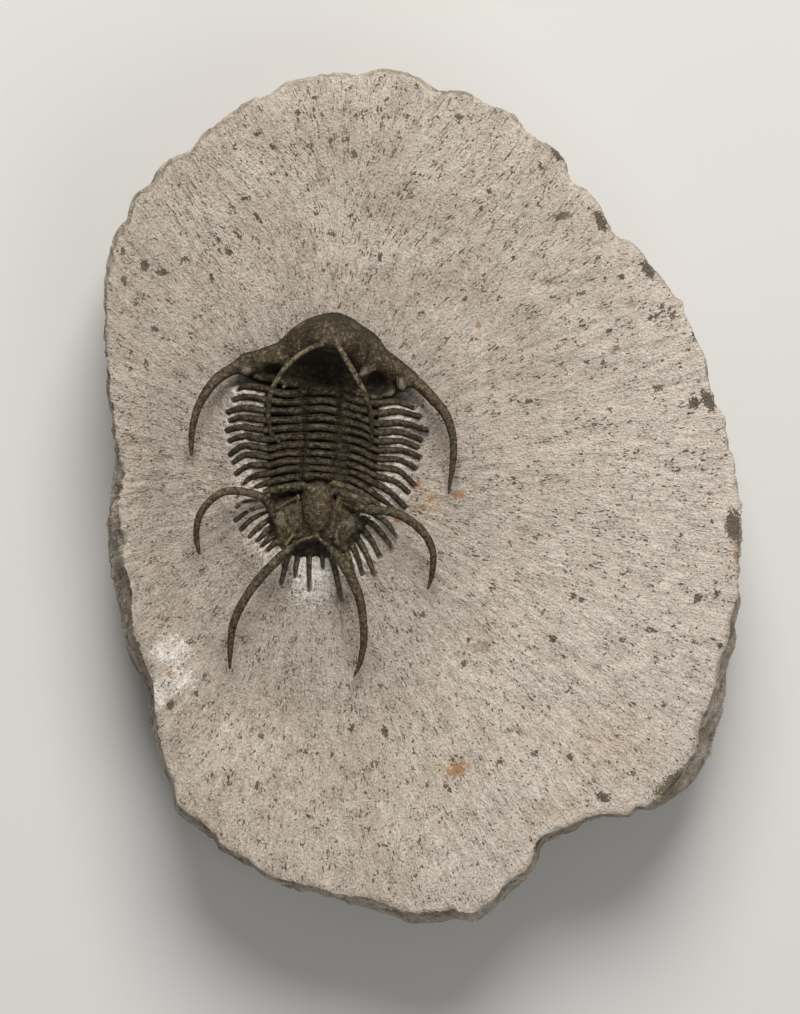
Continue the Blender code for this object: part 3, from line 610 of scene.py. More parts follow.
def thin_out(mesh, triangles):
    """The mesh with about that many triangles, kept where its surface bends most."""
    item = bpy.data.objects.new("thinning", mesh)
    bpy.context.scene.collection.objects.link(item)
    count = sum(len(face.vertices) - 2 for face in mesh.polygons)
    fewer = item.modifiers.new("fewer", "DECIMATE")
    fewer.ratio = min(1.0, triangles / count)
    graph = bpy.context.evaluated_depsgraph_get()
    result = bpy.data.meshes.new_from_object(item.evaluated_get(graph))
    bpy.data.objects.remove(item)
    bpy.data.meshes.remove(mesh)
    return result


def standing_out(mesh, rounds):
    """How far each point stands out of the surface round it, in millimetres."""
    points, normals = points_and_normals(mesh)
    pairs = np.empty(len(mesh.edges) * 2, np.int32)
    mesh.edges.foreach_get("vertices", pairs)
    first, second = pairs.reshape(-1, 2).T
    count = len(points)
    links = np.bincount(first, minlength=count) + np.bincount(second, minlength=count)
    smooth = points.copy()
    for _ in range(rounds):
        total = np.empty_like(smooth)
        for axis in range(3):
            values = smooth[:, axis]
            total[:, axis] = (np.bincount(first, values[second], count)
                              + np.bincount(second, values[first], count))
        smooth = total / links[:, None]
    return ((points - smooth) * normals).sum(axis=1)


# Shapes made from distance fields

# The distance that a field holds where no shape is near
EMPTY = 4.0


class Field:
    """Distances to a shape on a regular grid, negative inside it."""

    def __init__(self, low, high, step):
        self.step = step
        self.axes = [np.arange(start, end, step) for start, end in zip(low, high)]
        self.values = np.full([len(axis) for axis in self.axes], EMPTY, np.float32)

    def block(self, low, high):
        parts = []
        for axis, start, end in zip(self.axes, low, high):
            first = np.searchsorted(axis, start)
            last = np.searchsorted(axis, end)
            parts.append(slice(first, max(last, first + 1)))
        x, y, z = (axis[part] for axis, part in zip(self.axes, parts))
        return tuple(parts), x[:, None, None], y[None, :, None], z[None, None, :]

    def join(self, blend, *shapes, way=1.0):
        """Grows shapes on in turn, with a soft hollow of the given width where each meets the rest."""
        for measure, low, high in shapes:
            reach = blend + 3 * self.step
            part, x, y, z = self.block(np.array(low) - reach, np.array(high) + reach)
            other = way * measure(x, y, z)
            here = self.values[part]
            share = np.clip(0.5 + 0.5 * way * (here - other) / blend, 0.0, 1.0)
            self.values[part] = mix(here, other, share) - way * blend * share * (1.0 - share)

    def carve(self, blend, *shapes):
        """Takes shapes away, with a soft edge of the given width."""
        self.join(blend, *shapes, way=-1.0)

    def floor(self, height):
        self.values = np.maximum(self.values, (height - self.axes[2])[None, None, :])

    def surface(self):
        """Points and square faces where the distance is nought."""
        values = self.values
        cells = np.array(values.shape) - 1
        corners, places = [], []
        for axis in range(3):
            here = np.take(values, np.arange(cells[axis]), axis)
            ahead = np.take(values, np.arange(1, cells[axis] + 1), axis)
            where = np.argwhere((here < 0) != (ahead < 0))
            one, two = (axis + 1) % 3, (axis + 2) % 3
            for side in (one, two):
                where = where[(where[:, side] > 0) & (where[:, side] < cells[side])]
            start = here[tuple(where.T)]
            end = ahead[tuple(where.T)]
            place = where.astype(float)
            place[:, axis] += start / (start - end)
            ring = []
            for back_one, back_two in ((1, 1), (0, 1), (0, 0), (1, 0)):
                cell = where.copy()
                cell[:, one] -= back_one
                cell[:, two] -= back_two
                ring.append(np.ravel_multi_index(tuple(cell.T), cells))
            ring = np.stack(ring, axis=1)
            ring[start > 0] = ring[start > 0][:, ::-1]
            corners.append(ring)
            places.append(place)
        corners = np.concatenate(corners)
        places = np.repeat(np.concatenate(places), 4, axis=0)
        _, faces = np.unique(corners.ravel(), return_inverse=True)
        count = np.bincount(faces)
        points = np.stack([np.bincount(faces, places[:, axis]) / count for axis in range(3)], 1)
        start = np.array([axis[0] for axis in self.axes])
        return points * self.step + start, faces.reshape(-1, 4)


def above_base(points):
    """Points given with heights above the fossil's underside, in the slab's frame."""
    points = np.array(points, float)
    points[..., 2] += FOSSIL_BASE
    return points


def ellipsoid(centre, half_sizes, turn=0.0):
    """An ellipsoid, turned about the vertical by an angle in degrees."""
    cx, cy, cz = above_base(centre)
    rx, ry, rz = half_sizes
    cosine, sine = math.cos(math.radians(turn)), math.sin(math.radians(turn))

    def measure(x, y, z):
        along = ((x - cx) * cosine + (y - cy) * sine)
        across = ((y - cy) * cosine - (x - cx) * sine)
        near = np.sqrt((along / rx) ** 2 + (across / ry) ** 2 + ((z - cz) / rz) ** 2)
        steep = np.sqrt((along / rx ** 2) ** 2 + (across / ry ** 2) ** 2 + ((z - cz) / rz ** 2) ** 2)
        return near * (near - 1.0) / np.maximum(steep, 1e-6)

    widest = max(rx, ry)
    return measure, (cx - widest, cy - widest, cz - rz), (cx + widest, cy + widest, cz + rz)


def tube(points, steps=4):
    """A round rod along points that each give x, y, height and radius."""
    line = above_base(through(points, steps))

    def measure(x, y, z):
        nearest = np.full(np.broadcast(x, y, z).shape, 1e3)
        for (ax, ay, az, ar), (bx, by, bz, br) in zip(line, line[1:]):
            length = (bx - ax) ** 2 + (by - ay) ** 2 + (bz - az) ** 2
            t = ((x - ax) * (bx - ax) + (y - ay) * (by - ay) + (z - az) * (bz - az)) / length
            t = np.clip(t, 0.0, 1.0)
            away = np.sqrt((x - ax - t * (bx - ax)) ** 2 + (y - ay - t * (by - ay)) ** 2
                           + (z - az - t * (bz - az)) ** 2)
            nearest = np.minimum(nearest, away - mix(ar, br, t))
        return nearest

    widest = line[:, 3].max()
    return measure, line[:, :3].min(axis=0) - widest, line[:, :3].max(axis=0) + widest


def plate(outline, edge_height, slope, rounding):
    """A plate that fills an outline in plan and rises inwards from its edge."""
    line = through(outline, 4, closed=True)
    low, high = line.min(axis=0), line.max(axis=0)

    def measure(x, y, z):
        side = outline_distance(x, y, line)
        top = FOSSIL_BASE + edge_height + slope * np.minimum(-side, 3.0)
        rise = z - top
        share = np.clip(0.5 + 0.5 * (side - rise) / rounding, 0.0, 1.0)
        return mix(rise, side, share) + rounding * share * (1.0 - share)

    reach = edge_height + 3.0 * slope + 1.0
    return measure, (*low, FOSSIL_BASE - 1.0), (*high, FOSSIL_BASE + reach)


def rod(points, steps=4):
    """A tube along points that each give a pixel, a height and a radius."""
    return tube([(*seen(x, y, height), height, radius) for x, y, height, radius in points], steps)


# The slab's shape

def polar(x, y):
    across, ahead = x - FLOW_CENTRE[0], y - FLOW_CENTRE[1]
    return np.hypot(across, ahead), np.arctan2(ahead, across)


def compass(x, y):
    return np.degrees(np.arctan2(x, y)) % 360


def edge_inset(turn):
    """How far the face's edge stands in from the slab's widest line, by compass direction."""
    turns, pixels = zip(*FACE_EDGE_INSET, (360, FACE_EDGE_INSET[0][1]))
    return np.interp(turn, turns, pixels) * PIXEL


def chipped(reach, angle, allowance, rows):
    """An edge's distances, moved out by an allowance and with rows of chips broken out."""
    reach = reach + allowance
    for seed, count, depth in rows:
        reach = reach - chips(angle, seed, count, depth)
    return reach


class SlabOutline:
    """The slab's widest line and the worked face's edge, as distances about the flow centre."""

    def __init__(self):
        x, y = plan(*through(GIRTH_PIXELS, 3, closed=True).T)
        inset = edge_inset(compass(x, y))
        height = mix(RIM_HEIGHT - HIDDEN_GIRTH_DROP, GIRTH_HEIGHT, smooth_step(inset, 0.5, 1.6))
        reach, angle = polar(*at_height(x, y, height))
        order = np.argsort(angle)
        self.angle = angle[order]
        self.rows = [values[order] for values in (reach, inset, height)]

    def at(self, angle):
        """Girth distance, face edge distance and girth height along directions."""
        reach, inset, height = (np.interp(angle, self.angle, values, period=2 * math.pi)
                                for values in self.rows)
        edge = chipped(reach - inset, angle, *EDGE_CHIPS)
        reach = chipped(reach, angle, *GIRTH_CHIPS)
        return reach, np.minimum(edge, reach - 0.15), height


OUTLINE = SlabOutline()


def body_outline():
    """The edge of the body and tail in plan, at the knees of the ribs."""
    left, right = ([seen(*side[1], KNEE_TOP) for side in sides] for sides in (LEFT_SIDE, RIGHT_SIDE))
    return np.array(right + outline_at(TAIL_EDGE, 2.0) + left[::-1])


def free_spine_lines():
    """The free side spines and the tail's short spines in plan."""
    spines = [(side[1:], (KNEE_TOP, BOW_TOP, TIP_TOP)) for side in LEFT_SIDE + RIGHT_SIDE]
    spines += [(spine, SHORT_SPINE_TOPS) for spine in SHORT_SPINES]
    return [through([seen(*pixel, top) for pixel, top in zip(pixels, tops)], 3) for pixels, tops in spines]


def apron(x, y):
    """Height of the limestone that is left between the free spines, over the bed."""
    height = np.zeros(x.shape)
    near = (np.abs(x - FLOW_CENTRE[0]) < APRON_HALF_WIDTH) & (y > APRON_ENDS[0]) & (y < APRON_ENDS[1])
    x, y = x[near], y[near]
    away = outline_distance(x, y, body_outline())
    rise = np.interp(away, APRON_REACH, APRON_RISE)
    rise *= mix(1.0, 0.5, smooth_step(y, -1.0, -5.5))
    front = y - mix(APRON_FRONT[0], APRON_FRONT[1], (x + 27.0) / 26.0)
    rise *= 1.0 - smooth_step(front, -1.3, -0.2)
    rise += 0.16 * noise(31, x / 0.8, y / 0.8) * smooth_step(rise, 0.2, 1.0)
    spine = np.minimum(9.0, np.minimum.reduce([line_distance(x, y, line) for line in free_spine_lines()]))
    rise -= np.minimum(rise, SPINE_GROOVE) * (1.0 - smooth_step(spine, 0.22, 0.44))
    height[near] = rise
    return height


def bed_reach(cosine, sine):
    """How far the bed, which is an ellipse, reaches from the flow centre in each direction."""
    shift_x = (FLOW_CENTRE[0] - BED_CENTRE[0]) / BED_HALF_SIZE[0]
    shift_y = (FLOW_CENTRE[1] - BED_CENTRE[1]) / BED_HALF_SIZE[1]
    lean_x, lean_y = cosine / BED_HALF_SIZE[0], sine / BED_HALF_SIZE[1]
    square = lean_x ** 2 + lean_y ** 2
    cross = shift_x * lean_x + shift_y * lean_y
    left_over = shift_x ** 2 + shift_y ** 2 - 1.0
    return (-cross + np.sqrt(cross ** 2 - square * left_over)) / square


def worked_height(x, y):
    """Height of the worked face, which is dished round the fossil."""
    reach, angle = polar(x, y)
    _, edge, _ = OUTLINE.at(angle)
    cosine, sine = np.cos(angle), np.sin(angle)
    bed = bed_reach(cosine, sine)
    share = (reach - bed) / np.maximum(edge - bed, 1.0)
    height = BED_HEIGHT + (RIM_HEIGHT - BED_HEIGHT) * smooth_step(share)
    height += sum(depth * noise(seed, x / size, y / size) for seed, size, depth in FACE_WAVES)
    ring = np.log(np.maximum(reach, 2.0))
    strength = smooth_step(reach, 8, 20)
    for seed, beside, behind, depth in TOOL_WAVES:
        height += depth * strength * noise(seed, cosine * beside, sine * beside, ring * behind)
    seed, size, depth = FACE_GRAIN
    return height + depth * noise(seed, x / size, y / size)


def face_height(x, y):
    return worked_height(x, y) + apron(x, y)


def face_reaches(edge):
    """Distances of the worked face's rings of points, which lie closest round the fossil."""
    inner = np.minimum(ROUND_REACH, edge * 0.86)
    near = np.concatenate([np.arange(0.5, 6.0, 0.5), np.arange(6.0, CLOSE_REACH, 0.17)])
    shares = [*(near / ROUND_REACH), *np.linspace(CLOSE_REACH / ROUND_REACH, 1.0, 22)[1:]]
    reaches = [inner * share for share in shares]
    return reaches + [mix(inner, edge, share) for share in np.linspace(0.0, 1.0, 96)[1:]]


def ring_points(angle, reach, height=None):
    """A ring of points, which lies on the worked face where no height is given."""
    x = FLOW_CENTRE[0] + reach * np.cos(angle)
    y = FLOW_CENTRE[1] + reach * np.sin(angle)
    return np.stack([x, y, face_height(x, y) if height is None else height], axis=-1)


def slab_points():
    """Rings of points over the worked face, down the broken flank and over the base."""
    angle = np.linspace(-math.pi, math.pi, SLAB_SIDES, endpoint=False)
    girth, edge, girth_height = OUTLINE.at(angle)
    rings = [ring_points(angle, reach) for reach in face_reaches(edge)]
    top = rings[-1][:, 2]
    for share in FLANK_SHARES:
        height = top * (1.0 - share)
        below = (top - height) / np.maximum(top - girth_height, 0.5)
        out = mix(edge, girth, smooth_step(below, -0.35, 1.0) ** 0.8)
        under = np.clip((girth_height - height) / girth_height, 0.0, 1.0)
        reach = np.where(height >= girth_height, out, girth - BASE_INSET * under ** 2.2)
        reach = reach + flank_roughness(angle, reach, height, top)
        rings.append(ring_points(angle, reach, height))
    foot, centre = rings[-1], np.array([*FLOW_CENTRE, 0.0])
    return np.stack(rings + [centre + (foot - centre) * share for share in BASE_SHARES])


def flank_roughness(angle, reach, height, top):
    """How far the broken flank stands out or in, with flat facets and fine grain."""
    x = FLOW_CENTRE[0] + reach * np.cos(angle)
    y = FLOW_CENTRE[1] + reach * np.sin(angle)
    strength = smooth_step(top - height, 0.0, 1.2) * smooth_step(height, 0.0, 0.8)
    rough = sum(depth * facets(seed, x / across, y / across, height / tall)
                for seed, across, tall, depth in FLANK_FACETS)
    return strength * np.minimum(rough - 0.35, 0.1)


def make_slab(material):
    rings = slab_points()
    index = np.arange(rings.size // 3).reshape(rings.shape[:2])
    after = np.roll(index, -1, axis=1)
    a, b, c, d = index[:-1], after[:-1], index[1:], after[1:]
    middle_top, middle_base = (np.full(SLAB_SIDES, index.size + extra) for extra in (0, 1))
    corners = [(a, c, d), (a, d, b), (middle_top, index[0], after[0]), (middle_base, after[-1], index[-1])]
    faces = np.concatenate([np.stack(corner, -1).reshape(-1, 3) for corner in corners])
    middles = [(*FLOW_CENTRE, rings[0, :, 2].mean()), (*FLOW_CENTRE, 0.0)]
    mesh = new_mesh("matrix_slab_stone", np.concatenate([rings.reshape(-1, 3), middles]), faces)
    mesh = thin_out(mesh, SLAB_TRIANGLES)
    paint_slab(mesh)
    return add_piece("matrix_slab_stone", mesh, material, ["matrix_slab"])


def past_edge(points):
    """How far places lie outside the worked face's edge."""
    reach, angle = polar(points[:, 0], points[:, 1])
    return reach - OUTLINE.at(angle)[1]


def paint_slab(mesh):
    """Values on the slab's points that its material reads."""
    points = read(mesh.vertices, "co") / MM
    x, y, z = points.T
    flank = smooth_step(past_edge(points), -0.15, 0.15)
    write_value(mesh, "flank", np.maximum(flank, smooth_step(z, 19.5, 18.5)))
    bed = np.hypot((x + 15.5) / 26.0, (y - 0.5) / 33.0)
    bed += 0.10 * noise(41, x / 9, y / 9) - 1.0
    edge_width = mix(0.10, 0.035, smooth_step(y, 15, 30))
    write_value(mesh, "bed", 1.0 - smooth_step(bed / edge_width, -1.0, 1.0))
    # Painted shade in the slab's hollows and a painted highlight on its edges, for the material to read
    write_value(mesh, "hollow", np.clip(standing_out(mesh, 3), -0.2, 0.15))
    write_value(mesh, "apron", apron(x, y))
    buried = 3.0 * smooth_step(worked_height(x, y) - z, 1.2, 4.0)
    for name, spots in (("dark", DARK_SPOTS), ("green", GREEN_SPOTS), ("brown", BROWN_SPOTS),
                        ("rust", RUST_SPOTS), ("yellow", YELLOW_SPOTS), ("chalk", CHALK_SPOTS)):
        write_value(mesh, name, spot_level(x, y, spots) - buried)
    middle = read(mesh.polygons, "center") / MM
    mesh.polygons.foreach_set("use_smooth", (past_edge(middle) < -0.1) & (middle[:, 2] > 5.0))


# The fossil's shape

def lumps(rows):
    return [ellipsoid(*row) for row in rows]


def head_field():
    """The whole head: the swollen middle, the cheeks, the long spines and the horns."""
    field = Field(*HEAD_BOX)
    field.join(0.3, plate(outline_at(HEAD_OUTLINE, 1.0), edge_height=1.1, slope=0.5, rounding=0.8))
    field.join(1.3, *lumps(SWELLINGS))
    field.join(1.0, *map(rod, CHEEK_RIDGES))
    field.join(0.6, rod(NECK_RING))
    field.join(0.5, *map(rod, REAR_RIMS))
    for x, y, height in NECK_KNOBS:
        field.join(0.3, rod([(x, y, height - KNOB_SIZE, 0.3), (x, y, height, 0.3)], 1))
    field.carve(0.7, *map(rod, HEAD_FURROWS))
    field.carve(0.5, *lumps(EYE_HOLLOWS))
    field.join(0.6, *lumps(EYES))
    field.join(0.6, *map(rod, (EYE_RIDGE, LEFT_CHEEK_SPINE, RIGHT_CHEEK_SPINE)))
    field.join(1.1, rod(LEFT_HORN), rod(RIGHT_HORN))
    field.floor(FOSSIL_FOOT)
    return field


def cut_at(field, low, high):
    """The part of a field between two upright planes across the animal."""
    part = Field.__new__(Field)
    part.step = field.step
    x = field.axes[0]
    keep = (x > low - 1.0) & (x < high + 1.0)
    part.axes = [x[keep], field.axes[1], field.axes[2]]
    x = part.axes[0][:, None, None]
    part.values = np.maximum(field.values[keep], np.maximum(low - x, x - high))
    part.values[0], part.values[-1] = 1.0, 1.0
    return part


def tail_field():
    """The tail plate with its swollen axis, its ridges and all its spines."""
    field = Field(*TAIL_BOX)
    field.join(0.3, plate(outline_at(TAIL_OUTLINE, 2.0), edge_height=1.9, slope=0.4, rounding=0.8))
    field.join(0.5, ellipsoid(*TAIL_AXIS), *map(rod, TAIL_RIDGES))
    field.join(0.8, *map(rod, TAIL_RIBS))
    field.join(0.5, *map(rod, (LEFT_FRONT_TAIL_SPINE, RIGHT_FRONT_TAIL_SPINE,
                               LEFT_REAR_TAIL_SPINE, RIGHT_REAR_TAIL_SPINE)))
    for spine in SHORT_SPINES:
        field.join(0.25, rod([(*pixel, *row) for pixel, row in zip(spine, SHORT_SPINE_ROD)]))
    field.carve(0.25, rod(LEFT_TAIL_GROOVE))
    field.carve(0.2, rod(RIGHT_TAIL_GROOVE))
    field.floor(FOSSIL_FOOT)
    return field


def field_piece(node, field, material, *tucked):
    """A shell from a field, tucked under its neighbour where a plane and a way are given."""
    points, faces = field.surface()
    mesh = new_mesh(f"{node}_shell", points, faces)
    if tucked:
        tuck_under(mesh, *tucked)
    roughen(mesh, 1.0)
    mesh.set_sharp_from_angle(angle=math.radians(65))
    paint_fossil(mesh, standing_out(mesh, 4))
    return add_piece(f"{node}_shell", mesh, material, [node])


def tuck_under(mesh, plane, way):
    """Sinks the strip past an upright plane, which lies just under the neighbour's edge."""
    points, normals = points_and_normals(mesh)
    past = smooth_step((points[:, 0] - plane) * way, -0.03, 0.06)
    points[:, 2] -= 0.05 * past
    points[:, 1:] -= 0.03 * past[:, None] * normals[:, 1:]
    move_points(mesh, points)


def roughen(mesh, strength):
    """Fine grain and weathering on the shell, along the surface's own direction."""
    points, normals = points_and_normals(mesh)
    x, y, z = points.T
    grain = 0.045 * noise(51, x / 1.3, y / 1.3, z / 1.3) + 0.035 * noise(52, x / 0.5, y / 0.5, z / 0.5)
    move_points(mesh, points + strength * normals * grain[:, None])


def paint_fossil(mesh, ridge):
    """Values on the fossil's points that its material reads."""
    # The ridge value gives the material a painted highlight on crests and painted shade in grooves
    write_value(mesh, "ridge", ridge)
    points, normals = points_and_normals(mesh)
    x, y, z = points.T
    reach = np.hypot((x + 15.3) / 13.5, (y - 7.5) / 18.5)
    write_value(mesh, "outer", smooth_step(reach, 0.9, 1.45))
    # The dark value below is painted shade: very dark in the listed hollows, darker on every steep side, and
    # darker over the lower rear parts of the horns
    under_horns = smooth_step(FOSSIL_BASE + 9.0 - z, 0.0, 1.0)
    steep = 0.65 * smooth_step(normals[:, 2], 0.82, 0.18)
    painted_shade = smooth_step(spot_level(x, y, HOLLOW_SHADE_SPOTS), 0.0, 0.45) * under_horns + steep
    behind = mix(0.55, 0.80, smooth_step(x, -20.0, -10.0)) * (1.0 - under_horns)
    behind *= smooth_step(-y, -16.0, -12.5)
    write_value(mesh, "painted_shade", np.clip(painted_shade + behind, 0.0, 1.0))
    # The pale value is a painted highlight on the eyes, knobs and ridges, and marks a few paler patches of
    # the shell
    write_value(mesh, "pale", spot_level(x, y, PALE_AND_HIGHLIGHT_SPOTS) * under_horns)


def segment_stations(number):
    """The ridge line of one body segment: x, y, height, half width and roundness."""
    ring = (mix(*RING_X, number / 10), RING_CRESTS[number])
    ring_top = RING_TOP - RING_FALL * number
    furrow_top = FURROW_TOP - FURROW_FALL * number
    rib_top = RIB_TOP - RIB_FALL * number
    tops = (mix(furrow_top, ring_top, 0.80), furrow_top, rib_top, KNEE_TOP, BOW_TOP, TIP_TOP)
    line = [(*ring, ring_top, *BAND_MIDDLE)]
    for rib, *free in (LEFT_SIDE[number], RIGHT_SIDE[number]):
        reach = AXIS_HALF_WIDTH / abs(rib[0] - ring[0])
        furrow = (mix(ring[0], rib[0], reach), mix(ring[1], rib[1], reach))
        beside = (mix(ring[0], furrow[0], 0.62), mix(ring[1], furrow[1], 0.55))
        line += [(*place, top, *band)
                 for place, top, band in zip((beside, furrow, rib, *free), tops, BAND_SIDE)]
        line.reverse()
    line.reverse()
    line = [(*seen(x, y, height), height, width, round_) for x, y, height, width, round_ in line]
    return through(line, 12)


def band_drop(number, stations, furrow):
    """How far the shell lies under its ridge line, for each station and each point across it."""
    x, y, _, half, round_ = np.split(stations, 5, axis=1)
    band = GROOVE_DEPTH * (smooth_step(np.abs(ACROSS), 0.58, 1.0) + 0.3 * ACROSS ** 2)
    band += SECOND_FURROW * np.exp(-((ACROSS - 0.30) / 0.14) ** 2)
    tube_drop = half * 1.25 * (1.0 - np.sqrt(np.clip(1.0 - ACROSS ** 2, 0.0, 1.0)))
    uneven = 1.0 + 0.5 * noise(UNEVEN_SEED + number, x / 1.6, y / 1.6)
    drop = mix(band[None, :] * (1.0 - 0.8 * furrow) * uneven, tube_drop, round_)
    return np.pad(drop, ((0, 0), (1, 1)), "edge")


def segment_points(number, stations, drop):
    """Points across each station, from one foot over the shell to the other."""
    ahead = np.gradient(stations[:, :2], axis=0)
    across = np.stack([-ahead[:, 1], ahead[:, 0]], -1)
    across /= np.linalg.norm(across, axis=1)[:, None]
    side = stations[:, 3:4] * np.pad(ACROSS, 1, "edge")
    x = stations[:, 0:1] + across[:, 0:1] * side
    y = stations[:, 1:2] + across[:, 1:2] * side
    worn = (0.20 * noise(KNOB_SEED + number, x / 1.1, y / 0.7)
            + 0.09 * noise(WORN_SEED + number, x / 0.6, y / 0.35))
    top = FOSSIL_BASE + stations[:, 2:3] - drop + worn
    top[:, [0, -1]] = FOSSIL_FOOT
    return np.stack([x, y, top], -1)


def segment_faces(rings, columns):
    """Squares between neighbouring stations, and a row of them over each end."""
    index = np.arange(rings * columns).reshape(rings, columns)
    after = np.roll(index, -1, axis=1)
    faces = [np.stack([index[:-1], index[1:], after[1:], after[:-1]], -1).reshape(-1, 4)]
    for ring, way in ((index[0], -1), (index[-1], 1)):
        for low in range(columns // 2 - 1):
            high = columns - 1 - low
            faces.append(ring[[low, low + 1, high - 1, high]][None, ::way])
    return np.concatenate(faces)


def make_segment(number, material):
    name = f"thoracic_segment_{number + 1:02d}"
    stations = segment_stations(number)
    round_ = stations[:, 4:5]
    aside = np.abs(stations[:, 0:1] - plan(FURROW_MIDDLE, 0)[0])
    furrow = 1.0 - smooth_step(np.abs(aside - AXIS_HALF_WIDTH * PIXEL), 0.4, 1.5)
    drop = band_drop(number, stations, furrow)
    points = segment_points(number, stations, drop)
    mesh = new_mesh(f"{name}_shell", points.reshape(-1, 3), segment_faces(*drop.shape))
    roughen(mesh, 1.5)
    # Painted light on each band: a highlight along its crest, and shade down its sides, in its grooves and
    # at the axial furrows
    crest = np.pad(np.exp(-((ACROSS - 0.15) / 0.32) ** 2), 1)
    level = mix(0.25 + 0.95 * crest, 0.75, round_) - mix(1.3, 0.8, round_) * drop / GROOVE_DEPTH
    level -= 0.4 * furrow
    paint_fossil(mesh, RIDGE_FULL * level.ravel())
    return add_piece(f"{name}_shell", mesh, material, [name])


# Materials

# Colours of the limestone, as linear red, green and blue
FACE_DULL, FACE_LIGHT = (0.485, 0.412, 0.338), (0.565, 0.490, 0.412)
BED_GREY = (0.430, 0.368, 0.308)
LEFT_SHADE, RIGHT_LIGHT = (0.360, 0.305, 0.250), (0.640, 0.560, 0.482)
APRON_PALE = (0.640, 0.570, 0.488)
FLANK_PALE, FLANK_BROWN = (0.450, 0.390, 0.318), (0.290, 0.243, 0.185)
CRUST_GREEN, CRUST_BROWN = (0.125, 0.118, 0.088), (0.175, 0.132, 0.092)
PIT_BROWN, SCRATCH_BROWN = (0.160, 0.110, 0.077), (0.190, 0.140, 0.100)
BRUISE_PALE = (0.700, 0.640, 0.570)
GRAIN_BROWN, GRAIN_GREEN = (0.120, 0.080, 0.055), (0.112, 0.098, 0.054)

# Stains: the value that says where, where each starts and is full, its share and its colour
BROAD_STAINS = [
    ("yellow", -0.1, 0.7, 0.36, (0.530, 0.395, 0.250)),
    ("chalk", -0.05, 0.4, 0.85, (0.750, 0.690, 0.620)),
    ("brown", 0.0, 0.45, 0.55, (0.215, 0.160, 0.125)),
]
PLACED_STAINS = [
    ("rust", -0.05, 0.45, 0.80, (0.365, 0.180, 0.070)),
    ("green", 0.0, 0.2, 0.85, (0.105, 0.096, 0.052)),
    ("dark", 0.0, 0.2, 0.88, (0.090, 0.066, 0.046)),
]

# Dark grains of two sizes: cell, radius, and the share of the cells that have one
GRAINS = [(0.80, 0.19, 0.5), (2.2, 0.36, 0.5)]

# Colours of the shell
SHELL_DARK, SHELL_OLIVE = (0.038, 0.0287, 0.0142), (0.070, 0.0540, 0.0275)
SHELL_BROWN, SPINE_BROWN = (0.080, 0.050, 0.030), (0.074, 0.051, 0.030)
# Painted light among the shell's colours: the ridge colour is a painted highlight on worn ridges, the patch
# colour a painted highlight on pale places, and the groove and hollow colours are painted shade
RIDGE_HIGHLIGHT_AND_WEAR, FLECK_PALE, PATCH_PALE_AND_HIGHLIGHT = (0.172, 0.131, 0.077), (0.200, 0.168, 0.125), (0.270, 0.228, 0.170)
GROOVE_SHADE_DARK, HOLLOW_SHADE_BLACK = (0.018, 0.0122, 0.0064), (0.0125, 0.0080, 0.0044)

# The tool marks follow sectors about the flow centre, each blended with the ones beside it
FLOW_SECTORS = 20


